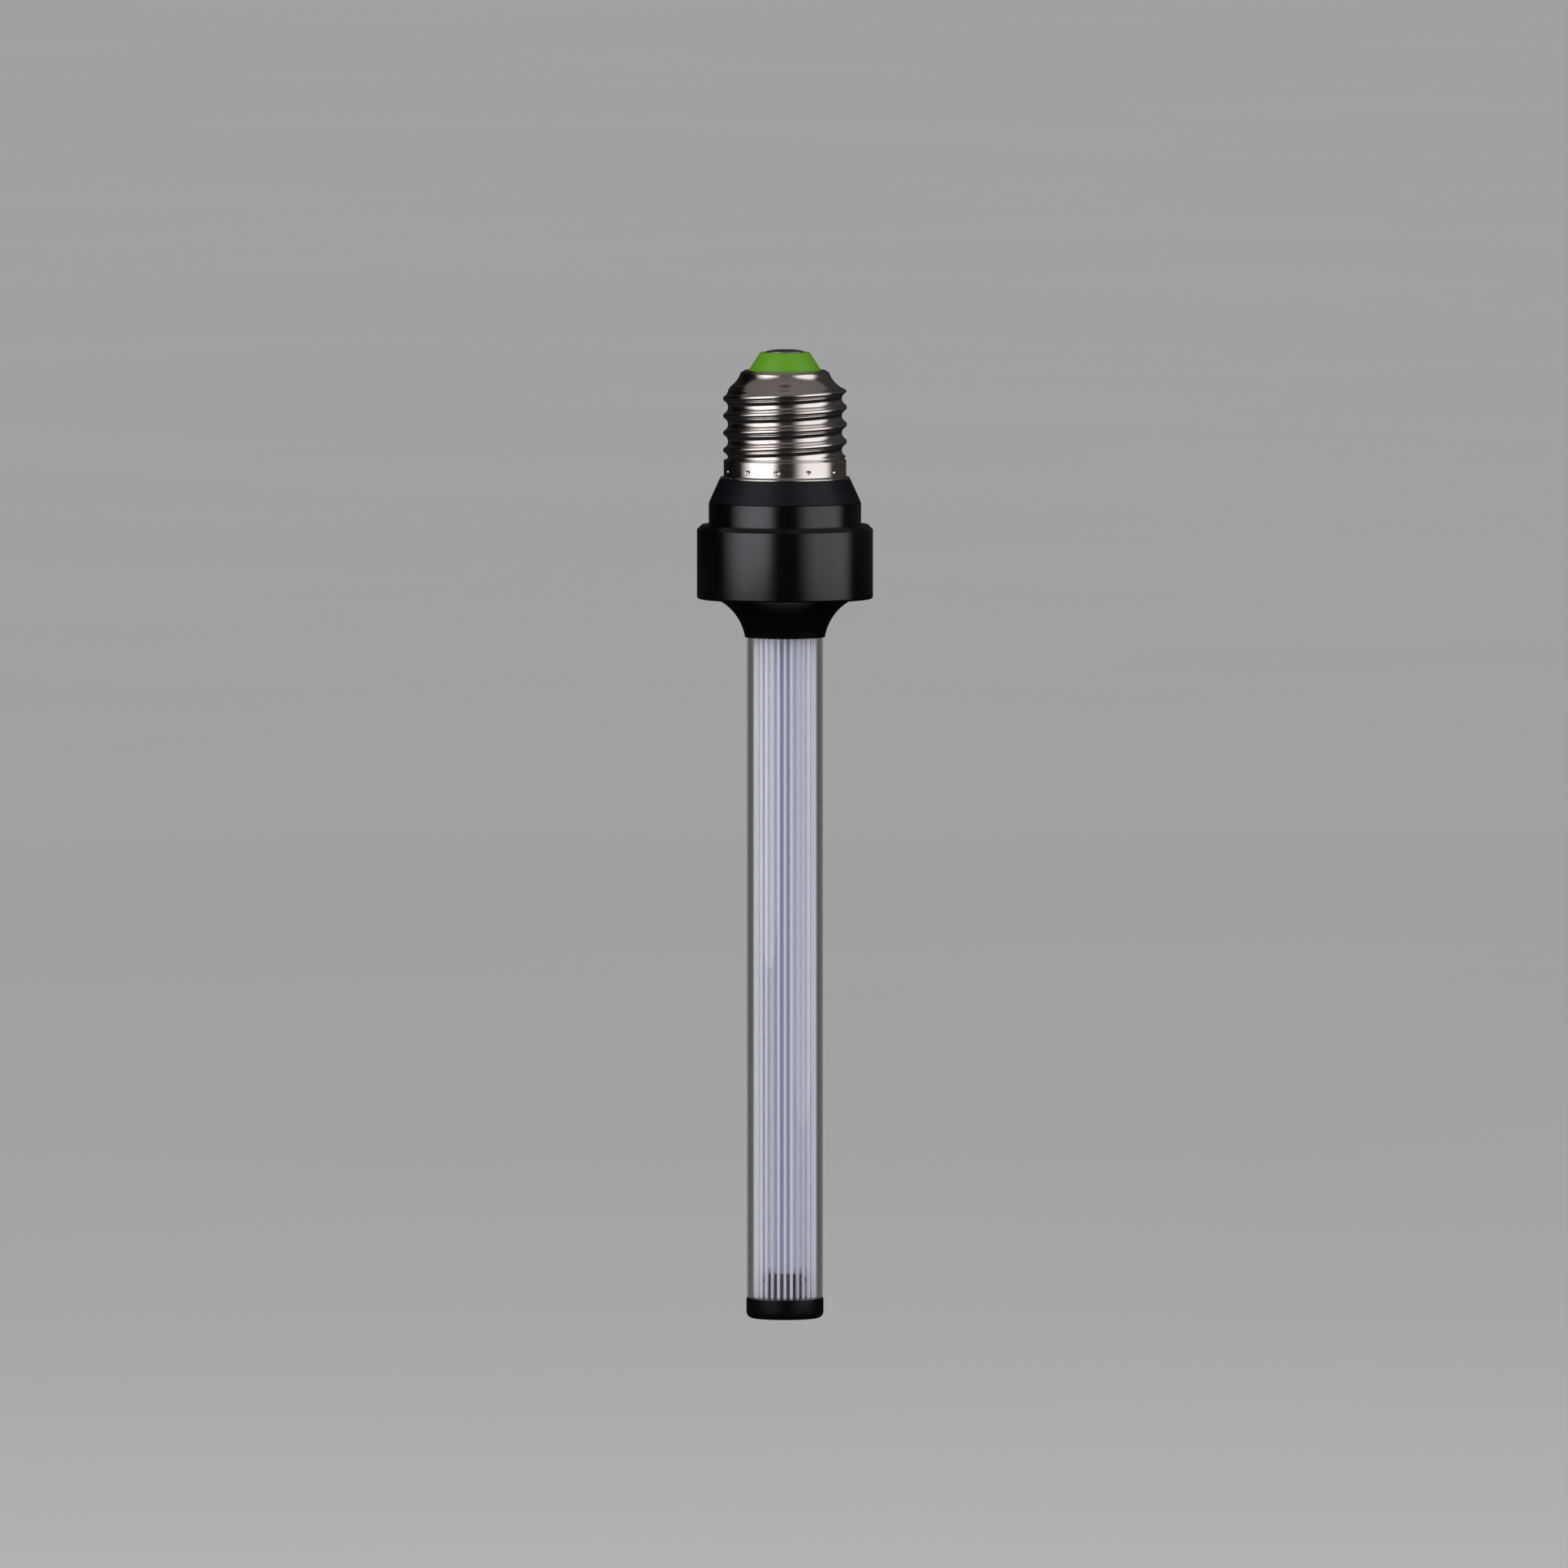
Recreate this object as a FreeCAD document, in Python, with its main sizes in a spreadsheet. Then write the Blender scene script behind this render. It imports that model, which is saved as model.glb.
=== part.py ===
"""A screw-cap LED lamp with a long clear tube and a forked, many-lined light guide inside it.

Depths are measured down the lamp's axis from the tip of the centre contact, in millimetres. Each piece is drawn
with depth along its own +Z, and its own +Y looks towards the viewer. One turn about X, which the pieces share,
then puts the contact on top at the origin, with the tube hanging below it, as the lamp hangs in its holder.
"""
import FreeCAD, Part
import os
import re

import Sketcher

# Driving sizes. They go into the spreadsheet, and every feature below reads them from there.
SIZES = {
    # centre contact, a domed rivet
    "contact_head_radius": 4.1,
    "contact_flat_radius": 2.2,
    "contact_proud": 0.55,
    "contact_edge": 0.15,
    "contact_shank_radius": 1.1,
    "contact_dome_bow": 0.07,
    "contact_shank_length": 9.6,
    # insulator cone between the contact and the screw shell
    "insulator_top_radius": 5.2,
    "insulator_base_radius": 7.65,
    "insulator_cone_height": 3.8,
    "insulator_flange_width": 0.5,
    "insulator_body_height": 3.8,
    "insulator_spigot_radius": 6.5,
    # screw shell, rolled from sheet, with the Edison thread of 27 mm nominal size
    "shell_sheet": 0.3,
    "shell_hole_clearance": 0.25,
    "shell_lip_width": 0.6,
    "shoulder_height": 3.65,
    "shoulder_bow": 0.25,
    "shoulder_step": 0.45,
    "thread_root_radius": 12.05,
    "thread_height": 1.03,
    "thread_pitch": 3.629,
    "thread_turns": 4.85,
    "thread_start": 3.05,
    "thread_crest_flat": 0.84,
    "thread_root_flat": 0.7,
    "thread_run_in": 0.75,
    "skirt_rise": 0.9,
    "skirt_height": 3.7,
    "rim_flange": 0.75,
    "rim_thickness": 0.5,
    # insulating housing, moulded, with a neck that the shell is pressed onto
    "housing_lip": 0.15,
    "housing_cone_height": 5.0,
    "housing_top_wall": 1.5,
    "housing_neck_wall": 1.5,
    "housing_liner_wall": 1.1,
    # heat sink collar, turned
    "ring_radius": 16.1,
    "ring_height": 4.6,
    "ring_wall": 1.6,
    "collar_radius": 18.6,
    "collar_height": 15.65,
    "collar_chamfer": 0.7,
    "collar_edge_chamfer": 0.4,
    "web_thickness": 2.0,
    "recess_depth": 4.15,
    # flared socket that holds the tube
    "flare_top_radius": 14.7,
    "flare_flange": 2.2,
    "flare_height": 8.15,
    "flare_bow": 1.3,
    "flare_lip_wall": 0.42,
    "socket_rim_wall": 1.5,
    "socket_floor_gap": 1.5,
    "socket_ledge": 1.0,
    "socket_ledge_width": 0.75,
    # clear outer tube
    "tube_radius": 8.0,
    "tube_wall": 1.0,
    "tube_showing": 139.9,
    # forked light guide, a clear tube with ribs outside
    "guide_clearance": 0.35,
    "guide_wall": 0.7,
    "fork_height": 0.55,
    "fork_width": 0.62,
    "fork_count": 30,
    # end cap, and the plug on it that centres the guide
    "cap_height": 4.3,
    "cap_overhang": 0.16,
    "cap_edge_radius": 1.4,
    "cap_spigot_height": 0.2,
    "plug_post_radius": 1.9,
    "plug_post_height": 5.05,
    "plug_disc_thickness": 0.5,
    "plug_disc_height": 3.5,
    "plug_pin_radius": 1.1,
    "plug_pin_length": 2.1,
    # light source
    "pad_thickness": 0.2,
    "led_board_thickness": 1.0,
    "led_count": 12,
    "led_width": 1.4,
    "led_height": 0.5,
    "led_gap": 0.3,
    # driver
    "driver_board_thickness": 1.0,
    "driver_top_gap": 3.5,
    "driver_shoulder_gap": 0.5,
    "disc_thickness": 0.4,
    "wire_radius": 0.5,
    "wire_hole_radius": 0.8,
    "neutral_reach": 2.6,
    "neutral_step_in": 1.5,
    "led_wire_spacing": 7.0,
    "led_wire_overlap": 4.5,
    "capacitor_radius": 4.0,
    "capacitor_length": 11.0,
    "capacitor_crimp": 0.35,
    "capacitor_base": 1.05,
    "choke_radius": 3.4,
    "choke_height": 7.6,
    "choke_flange": 1.1,
    "choke_winding_depth": 0.5,
    "fuse_radius": 1.25,
    "fuse_waist_radius": 1.1,
    "fuse_swelling": 1.7,
    "fuse_length": 6.6,
    "film_length": 4.6,
    "film_width": 7.2,
    "film_thickness": 5.2,
    "bridge_length": 4.7,
    "bridge_width": 3.9,
    "chip_length": 4.9,
    "chip_width": 3.9,
    "package_thickness": 1.5,
    "part_spacing": 1.2,
    # fits
    "seat_clearance": 0.05,
    "slip_clearance": 0.1,
}

# Depths of the outer joints, from the contact's tip downwards. The skirt begins half a turn above the thread's end,
# so that the thread runs out into it all round.
SHELL_TOP = "(contact_proud + insulator_cone_height)"
SHOULDER_END = f"({SHELL_TOP} + shoulder_height)"
THREAD_FIRST = f"({SHELL_TOP} + thread_start)"
SKIRT_TOP = f"({THREAD_FIRST} + (thread_turns - 1 / 2) * thread_pitch)"
RIM_TOP = f"({SKIRT_TOP} + skirt_height)"
SHELL_END = f"({RIM_TOP} + rim_thickness)"
CONE_END = f"({SHELL_END} + housing_cone_height)"
COLLAR_TOP = f"({CONE_END} + ring_height)"
COLLAR_END = f"({COLLAR_TOP} + collar_height)"
SOCKET_END = f"({COLLAR_END} + flare_height)"
TUBE_END = f"({SOCKET_END} + tube_showing)"
LAMP_END = f"({TUBE_END} + cap_height)"

# Depths of what lies inside
FLANGE_TOP = f"({SHELL_TOP} + shell_sheet + seat_clearance)"
FLANGE_END = f"({FLANGE_TOP} + insulator_body_height)"
DRIVER_TOP = f"({FLANGE_END} + driver_top_gap)"
DRIVER_SHOULDER = f"({CONE_END} + driver_shoulder_gap)"
WEB_UNDER = f"({COLLAR_END} - recess_depth)"
WEB_TOP = f"({WEB_UNDER} - web_thickness)"
DISC_TOP = f"({WEB_TOP} - disc_thickness)"
LED_BOARD_TOP = f"({WEB_UNDER} + pad_thickness)"
LED_BOARD_END = f"({LED_BOARD_TOP} + led_board_thickness)"
GUIDE_TOP = f"({LED_BOARD_END} + led_height + led_gap)"
SOCKET_FLOOR = f"({LED_BOARD_END} + socket_floor_gap)"
TUBE_TOP = f"({SOCKET_FLOOR} + socket_ledge)"
PLUG_SEAT = f"({TUBE_END} - cap_spigot_height)"

# Radii that pieces share
SHELL_HOLE = "(insulator_base_radius + shell_hole_clearance)"
SHELL_LIP = f"({SHELL_HOLE} + shell_lip_width)"
SHOULDER_FOOT = "(thread_root_radius - shoulder_step)"
KNEE_RADIUS = f"(({SHELL_LIP} + {SHOULDER_FOOT}) / 2 + shoulder_bow)"
KNEE_DEPTH = f"({SHELL_TOP} + shoulder_height / 2 - shoulder_bow)"
CREST_RADIUS = "(thread_root_radius + thread_height)"
SHELL_INSIDE = "(thread_root_radius - shell_sheet)"
SKIRT_RADIUS = "(thread_root_radius + skirt_rise)"
SKIRT_INSIDE = f"({SKIRT_RADIUS} - shell_sheet)"
RIM_RADIUS = f"({SKIRT_RADIUS} + rim_flange)"
NECK_RADIUS = f"({SHELL_INSIDE} - slip_clearance)"
NECK_BORE = f"({NECK_RADIUS} - housing_neck_wall)"
COLLAR_BORE = "(ring_radius - ring_wall)"
LINER_RADIUS = f"({COLLAR_BORE} - slip_clearance)"
LINER_BORE = f"({LINER_RADIUS} - housing_liner_wall)"
RECESS_RADIUS = "(flare_top_radius - flare_flange)"
SOCKET_RADIUS = f"({RECESS_RADIUS} - seat_clearance)"
SOCKET_RIM_INSIDE = f"({SOCKET_RADIUS} - socket_rim_wall)"
LED_BOARD_RADIUS = f"({RECESS_RADIUS} - slip_clearance)"
SOCKET_BORE = "(tube_radius + seat_clearance)"
TUBE_BORE = "(tube_radius - tube_wall)"
GUIDE_RADIUS = f"({TUBE_BORE} - guide_clearance)"
GUIDE_ROOT = f"({GUIDE_RADIUS} - fork_height)"
GUIDE_BORE = f"({GUIDE_ROOT} - guide_wall)"

# Places on the driver board, whose faces stand either side of the axis
BOARD_FACE = "(driver_board_thickness / 2)"
WIRE_OFF_BOARD = f"({BOARD_FACE} + wire_radius)"
FUSE_OFF_BOARD = f"({BOARD_FACE} + fuse_radius)"
FUSE_TOP = f"({DRIVER_TOP} + part_spacing)"
BRIDGE_TOP = f"({FUSE_TOP} + fuse_length + part_spacing)"
FILM_TOP = f"({DRIVER_SHOULDER} + part_spacing)"
CHIP_TOP = f"({FILM_TOP} + film_length + part_spacing)"
NEUTRAL_OFF_AXIS = "(insulator_base_radius + insulator_flange_width + wire_radius + seat_clearance)"

# Turns, in degrees. The thread starts behind the lamp, out of the viewer's sight.
TURNED_OVER = FreeCAD.Rotation(FreeCAD.Vector(1, 0, 0), 180)
OUT_OF_BOARD_BACK = FreeCAD.Rotation(FreeCAD.Vector(1, 0, 0), -90)
THREAD_PHASE = -114

SKETCH_ORIGIN = (-1, 1)

doc = FreeCAD.newDocument("forked_lamp")


def make_sheet():
    """Writes the driving sizes into the spreadsheet, one alias for each cell."""
    sheet = doc.addObject("Spreadsheet::Sheet", "Sizes")
    for row, (name, value) in enumerate(SIZES.items(), start=1):
        sheet.set(f"A{row}", name)
        sheet.set(f"B{row}", str(value))
        sheet.setAlias(f"B{row}", name)
    doc.recompute()
    return sheet


sizes = make_sheet()


def linked(text):
    """An expression with each size's name turned into a reference to its cell."""
    return re.sub(r"[a-z]\w+", lambda m: f"Sizes.{m[0]}" if m[0] in SIZES else m[0], text)


def worth(text):
    """The present value of an expression, in millimetres."""
    return float(sizes.evalExpression(linked(text)))


def bind(thing, prop, text):
    """Ties one property of a document object to the spreadsheet."""
    thing.setExpression(prop, linked(text))


def place(thing, across="0", towards="0", depth="0", turned=TURNED_OVER):
    """Puts a piece in the lamp: across to the right, towards the viewer, and down from the contact's tip."""
    thing.Placement = FreeCAD.Placement(FreeCAD.Vector(), turned)
    bind(thing, "Placement.Base.x", across)
    bind(thing, "Placement.Base.y", f"-({towards})")
    bind(thing, "Placement.Base.z", f"-({depth})")
    return thing


def make_body(label, across="0", towards="0", depth="0", turned=TURNED_OVER):
    """An empty body that carries a piece's name and its place in the lamp."""
    body = doc.addObject("PartDesign::Body", label)
    body.Label = label
    return place(body, across, towards, depth, turned)


def origin_part(body, role):
    """One of the body's own origin planes or axes."""
    return next(f for f in body.Origin.OriginFeatures if f.Role == role)


def new_sketch(body, name, plane="XZ_Plane", offset="0"):
    """A sketch on one of the body's planes, moved along the plane's normal."""
    sketch = body.newObject("Sketcher::SketchObject", f"{body.Name}_{name}")
    sketch.AttachmentSupport = [(origin_part(body, plane), "")]
    sketch.MapMode = "FlatFace"
    bind(sketch, "AttachmentOffset.Base.z", offset)
    return sketch


def held(sketch, kind, text, *where):
    """Adds a dimension to a sketch and ties it to the sheet."""
    row = sketch.addConstraint(Sketcher.Constraint(kind, *where, worth(text)))
    bind(sketch, f"Constraints[{row}]", text)


def bowed(start, end, bow, flats):
    """The corners of a curve drawn in flats between two corners. Its middle stands off the straight way by the
    bow, to the left as it runs on."""
    across, along = f"(({end[0]}) - ({start[0]}))", f"(({end[1]}) - ({start[1]}))"
    way = f"sqrt({across}^2 + {along}^2)"
    corners = [start]
    for i in range(1, flats):
        part = f"{i} / {flats}"
        off = f"({bow}) * 4 * {part} * (1 - {part}) / {way}"
        corners.append((f"{start[0]} + {across} * {part} - {along} * {off}",
                        f"{start[1]} + {along} * {part} + {across} * {off}"))
    return [*corners, end]


def draw_outline(sketch, corners):
    """Draws a closed outline of straight edges from corner to corner, each corner held across and along."""
    points = [FreeCAD.Vector(worth(across), worth(along), 0) for across, along in corners]
    edges = [sketch.addGeometry(Part.LineSegment(start, end), False)
             for start, end in zip(points, points[1:] + points[:1])]
    for before, edge, (across, along) in zip(edges[-1:] + edges[:-1], edges, corners):
        sketch.addConstraint(Sketcher.Constraint("Coincident", before, 2, edge, 1))
        held(sketch, "DistanceX", across, *SKETCH_ORIGIN, edge, 1)
        held(sketch, "DistanceY", along, *SKETCH_ORIGIN, edge, 1)
    return sketch


def draw_circle(sketch, across, along, radius):
    """Draws a full circle."""
    centre = FreeCAD.Vector(worth(across), worth(along), 0)
    ring = sketch.addGeometry(Part.Circle(centre, FreeCAD.Vector(0, 0, 1), worth(radius)), False)
    held(sketch, "DistanceX", across, *SKETCH_ORIGIN, ring, 3)
    held(sketch, "DistanceY", along, *SKETCH_ORIGIN, ring, 3)
    held(sketch, "Radius", radius, ring)


def rectangle(middle, near, width, length):
    """The corners of a rectangle that is centred across and runs on from its near side."""
    left, right = f"{middle} - ({width}) / 2", f"{middle} + ({width}) / 2"
    far = f"{near} + ({length})"
    return [(left, near), (right, near), (right, far), (left, far)]


def feature_from(body, name, kind, sketch, about_axis=False):
    """A feature of a body made from a sketch."""
    feature = body.newObject(kind, f"{body.Name}_{name}")
    feature.Profile = (sketch, [""])
    if about_axis:
        feature.ReferenceAxis = (origin_part(body, "Z_Axis"), [""])
    return feature


def volume_now(body):
    """The body's volume with all its features made."""
    doc.recompute()
    return body.Shape.Volume


def checked_cut(body, feature, volume_before):
    """Stops where a cut has taken nothing away."""
    if not volume_now(body) < volume_before:
        raise ValueError(f"{feature.Name} cuts nothing")


def turn(body, name, corners):
    """Turns an outline of radii and depths about the body's axis."""
    sketch = draw_outline(new_sketch(body, f"{name}_outline"), corners)
    feature_from(body, name, "PartDesign::Revolution", sketch, about_axis=True)


def bore(body, name, corners):
    """Turns a hollow, or a trimmed edge, out of the body."""
    before = volume_now(body)
    sketch = draw_outline(new_sketch(body, f"{name}_outline"), corners)
    checked_cut(body, feature_from(body, name, "PartDesign::Groove", sketch, about_axis=True), before)


def pad(body, name, sketch, length):
    """Raises a sketch along its plane's normal."""
    feature = feature_from(body, name, "PartDesign::Pad", sketch)
    bind(feature, "Length", length)
    return feature


def drill(body, name, circles, top, depth):
    """Drills round holes along the lamp's axis, from one depth down by another. A circle is (x, y, radius)."""
    before = volume_now(body)
    sketch = new_sketch(body, f"{name}_holes", "XY_Plane", top)
    for circle in circles:
        draw_circle(sketch, *circle)
    holes = feature_from(body, name, "PartDesign::Pocket", sketch)
    holes.Reversed = True
    bind(holes, "Length", depth)
    checked_cut(body, holes, before)


def ring_of(body, name, features, count):
    """Repeats features evenly round the body's axis."""
    pattern = body.newObject("PartDesign::PolarPattern", f"{body.Name}_{name}")
    pattern.Originals = features
    pattern.Axis = (origin_part(body, "Z_Axis"), [""])
    pattern.Angle = 360
    bind(pattern, "Occurrences", count)
    body.Tip = pattern


def round_plate(label, radius, top, thickness, holes):
    """A flat disc with holes."""
    body = make_body(label)
    sketch = new_sketch(body, "section", "XY_Plane", top)
    draw_circle(sketch, "0", "0", radius)
    for hole in holes:
        draw_circle(sketch, *hole)
    pad(body, "plate", sketch, thickness)
    return body


def led_down(label, points):
    """A wire led down in straight runs, its sections all level. Points are (across, towards, depth)."""
    body = make_body(label)
    sections = [new_sketch(body, f"section_{i}", "XY_Plane", point[2]) for i, point in enumerate(points)]
    for sketch, point in zip(sections, points):
        draw_circle(sketch, point[0], point[1], "wire_radius")
    runs = feature_from(body, "runs", "PartDesign::AdditiveLoft", sections[0])
    runs.Sections = sections[1:]
    runs.Ruled = True
    return body


def centre_contact():
    """The domed rivet at the tip, with its shank down through the insulator."""
    body = make_body("centre_contact")
    shank_end = "contact_proud + contact_shank_length"
    turn(body, "rivet", [
        ("0", "0"),
        ("0", shank_end),
        ("contact_shank_radius", shank_end),
        ("contact_shank_radius", "contact_proud"),
        ("contact_head_radius", "contact_proud"),
        *bowed(("contact_head_radius", "contact_proud - contact_edge"), ("contact_flat_radius", "0"),
               "contact_dome_bow", 2),
    ])
    return body


def contact_insulator():
    """The cone that keeps the contact apart from the screw shell, with a body trapped under the shell's lip."""
    body = make_body("contact_insulator")
    hole = "(contact_shank_radius + seat_clearance)"
    spigot_end = f"({FLANGE_END} + housing_top_wall)"
    flange = "(insulator_base_radius + insulator_flange_width)"
    turn(body, "cone", [
        (hole, "contact_proud"),
        (hole, spigot_end),
        ("insulator_spigot_radius", spigot_end),
        ("insulator_spigot_radius", FLANGE_END),
        (flange, FLANGE_END),
        (flange, FLANGE_TOP),
        ("insulator_base_radius", FLANGE_TOP),
        ("insulator_base_radius", SHELL_TOP),
        ("insulator_top_radius", "contact_proud"),
    ])
    return body


def wind_thread(body):
    """Winds the thread's ridge down the shell. Flats stand for the round crest and the round roots, and the ridge
    is rooted in the sheet."""
    half_crest = "(thread_crest_flat / 2)"
    half_foot = "((thread_pitch - thread_root_flat) / 2)"
    sunk = "(shell_sheet / 2)"
    half_base = f"({half_foot} + ({half_foot} - {half_crest}) / thread_height * {sunk})"
    sketch = draw_outline(new_sketch(body, "ridge_section"), [
        (f"thread_root_radius - {sunk}", f"{THREAD_FIRST} - {half_base}"),
        (CREST_RADIUS, f"{THREAD_FIRST} - {half_crest}"),
        (CREST_RADIUS, f"{THREAD_FIRST} + {half_crest}"),
        (f"thread_root_radius - {sunk}", f"{THREAD_FIRST} + {half_base}"),
    ])
    ridge = feature_from(body, "ridge", "PartDesign::AdditiveHelix", sketch, about_axis=True)
    ridge.Mode = "pitch-turns-angle"
    ridge.Angle = 0
    bind(ridge, "Pitch", "thread_pitch")
    bind(ridge, "Turns", "thread_turns")


def trim_thread_ends(body):
    """Turns the shoulder, where the thread fades in, and levels the thread where it runs out into the skirt."""
    outside = f"({CREST_RADIUS} + thread_height)"
    above = f"({SHELL_TOP} - thread_pitch)"
    thread_full = f"{SHOULDER_END} + thread_run_in"
    bore(body, "shoulder", [
        (SHELL_LIP, above),
        (SHELL_LIP, SHELL_TOP),
        (KNEE_RADIUS, KNEE_DEPTH),
        (SHOULDER_FOOT, SHOULDER_END),
        (CREST_RADIUS, thread_full),
        (outside, thread_full),
        (outside, above),
    ])
    bore(body, "skirt_face", [
        (SKIRT_RADIUS, SKIRT_TOP),
        (outside, SKIRT_TOP),
        (outside, RIM_TOP),
        (SKIRT_RADIUS, RIM_TOP),
    ])


def screw_shell():
    """The rolled sheet shell: lip, shoulder, thread, skirt and turned-out rim."""
    spin = FreeCAD.Rotation(FreeCAD.Vector(0, 0, 1), THREAD_PHASE)
    body = make_body("screw_shell", turned=TURNED_OVER.multiply(spin))
    turn(body, "blank", [
        ("0", SHELL_TOP),
        ("thread_root_radius", SHELL_TOP),
        ("thread_root_radius", f"{SKIRT_TOP} - shell_sheet"),
        (SKIRT_RADIUS, f"{SKIRT_TOP} + shell_sheet"),
        (SKIRT_RADIUS, RIM_TOP),
        (RIM_RADIUS, RIM_TOP),
        (RIM_RADIUS, SHELL_END),
        ("0", SHELL_END),
    ])
    wind_thread(body)
    trim_thread_ends(body)
    above, below = f"({SHELL_TOP} - shell_sheet)", f"({SHELL_END} + shell_sheet)"
    under_lip = f"({SHELL_TOP} + shell_sheet)"
    bore(body, "hollow", [
        ("0", above),
        (SHELL_HOLE, above),
        (SHELL_HOLE, under_lip),
        (f"{SHELL_LIP} - shell_sheet / 2", under_lip),
        (f"{SHOULDER_FOOT} - shell_sheet", SHOULDER_END),
        (SHELL_INSIDE, f"{SHOULDER_END} + shoulder_step"),
        (SHELL_INSIDE, SKIRT_TOP),
        (SKIRT_INSIDE, f"{SKIRT_TOP} + 2 * shell_sheet"),
        (SKIRT_INSIDE, below),
        ("0", below),
    ])
    return body


def insulating_housing():
    """The moulded housing: a neck inside the shell, the cone that shows below it, and a liner in the collar."""
    body = make_body("insulating_housing")
    liner_end = f"({DISC_TOP} - seat_clearance)"
    top_under = f"({FLANGE_END} + housing_top_wall)"
    spigot_hole = "(insulator_spigot_radius + seat_clearance)"
    turn(body, "moulding", [
        (spigot_hole, FLANGE_END),
        (NECK_RADIUS, FLANGE_END),
        (NECK_RADIUS, SHELL_END),
        (f"{RIM_RADIUS} + housing_lip", SHELL_END),
        ("ring_radius", CONE_END),
        (LINER_RADIUS, CONE_END),
        (LINER_RADIUS, liner_end),
        (LINER_BORE, liner_end),
        (LINER_BORE, CONE_END),
        (NECK_BORE, SHELL_END),
        (NECK_BORE, top_under),
        (spigot_hole, top_under),
    ])
    hole = (f"-{NEUTRAL_OFF_AXIS}", "0", "wire_radius + seat_clearance")
    drill(body, "neutral_wire", [hole], FLANGE_END, "housing_top_wall")
    return body


def live_lead():
    """The wire from the contact's shank to the top of the fusible resistor."""
    shank_end = "(contact_proud + contact_shank_length)"
    return led_down("live_lead", [("0", "0", shank_end), ("0", FUSE_OFF_BOARD, FUSE_TOP)])


def neutral_lead():
    """The bare wire from the shell's shoulder, through the housing's top, to the driver board's front."""
    on_board = f"(neutral_step_in - {NEUTRAL_OFF_AXIS})"
    return led_down("neutral_lead", [
        (f"-{NEUTRAL_OFF_AXIS}", "0", f"{FLANGE_END} - neutral_reach"),
        (f"-{NEUTRAL_OFF_AXIS}", "0", f"{FLANGE_END} + housing_top_wall"),
        (on_board, WIRE_OFF_BOARD, f"{DRIVER_TOP} - seat_clearance"),
        (on_board, WIRE_OFF_BOARD, f"{FUSE_TOP} + fuse_length / 2"),
    ])


def fusible_resistor():
    """The resistor that guards the live wire, with the usual swollen ends, on the front of the driver board."""
    body = make_body("fusible_resistor", towards=FUSE_OFF_BOARD, depth=FUSE_TOP)
    turn(body, "coated_rod", [
        ("0", "0"),
        ("fuse_radius", "0"),
        ("fuse_radius", "fuse_swelling"),
        ("fuse_waist_radius", "fuse_swelling"),
        ("fuse_waist_radius", "fuse_length - fuse_swelling"),
        ("fuse_radius", "fuse_length - fuse_swelling"),
        ("fuse_radius", "fuse_length"),
        ("0", "fuse_length"),
    ])
    return body


def driver_board():
    """The upright circuit board: a tongue up inside the screw shell, and wide shoulders in the liner."""
    body = make_body("driver_board")
    tongue = f"(sqrt({NECK_BORE}^2 - {BOARD_FACE}^2) - slip_clearance)"
    wide = f"(sqrt({LINER_BORE}^2 - {BOARD_FACE}^2) - slip_clearance)"
    sketch = draw_outline(new_sketch(body, "board_outline", offset=f"-{BOARD_FACE}"), [
        (f"-{tongue}", DRIVER_TOP),
        (tongue, DRIVER_TOP),
        (tongue, DRIVER_SHOULDER),
        (wide, DRIVER_SHOULDER),
        (wide, DISC_TOP),
        (f"-{wide}", DISC_TOP),
        (f"-{wide}", DRIVER_SHOULDER),
        (f"-{tongue}", DRIVER_SHOULDER),
    ])
    pad(body, "board", sketch, "driver_board_thickness")
    return body


def smoothing_capacitor():
    """The round capacitor lying on the back of the tongue, with the crimped groove of its can."""
    body = make_body("smoothing_capacitor", towards=f"-({BOARD_FACE} + capacitor_radius)", depth=FUSE_TOP)
    crimp_end = "(capacitor_length - capacitor_base)"
    turn(body, "can", [
        ("0", "0"),
        ("capacitor_radius - capacitor_crimp", "0"),
        ("capacitor_radius", "capacitor_crimp"),
        ("capacitor_radius", f"{crimp_end} - 2 * capacitor_crimp"),
        ("capacitor_radius - capacitor_crimp", f"{crimp_end} - capacitor_crimp"),
        ("capacitor_radius", crimp_end),
        ("capacitor_radius", "capacitor_length"),
        ("0", "capacitor_length"),
    ])
    return body


def choke_piece(label, corners):
    """A turned piece of the choke, which stands out of the back of the board's wide part."""
    middle = f"{FILM_TOP} + choke_radius"
    body = make_body(label, towards=f"-{BOARD_FACE}", depth=middle, turned=OUT_OF_BOARD_BACK)
    turn(body, "drum", corners)
    return body


def choke_core():
    """The ferrite drum."""
    waist, far_flange = "choke_radius / 2", "choke_height - choke_flange"
    return choke_piece("choke_core", [
        ("0", "0"),
        ("choke_radius", "0"),
        ("choke_radius", "choke_flange"),
        (waist, "choke_flange"),
        (waist, far_flange),
        ("choke_radius", far_flange),
        ("choke_radius", "choke_height"),
        ("0", "choke_height"),
    ])


def choke_winding():
    """The enamelled winding between the drum's flanges."""
    inside, outside = "choke_radius / 2 + seat_clearance", "choke_radius - choke_winding_depth"
    near, far = "choke_flange + seat_clearance", "choke_height - choke_flange - seat_clearance"
    return choke_piece("choke_winding", [(inside, near), (outside, near), (outside, far), (inside, far)])


def block(label, depth, width, thickness, length):
    """A moulded component that stands off the front of the driver board, centred across."""
    box = doc.addObject("Part::Box", label)
    box.Label = label
    bind(box, "Length", width)
    bind(box, "Width", thickness)
    bind(box, "Height", length)
    return place(box, f"-{width} / 2", BOARD_FACE, depth)


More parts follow.
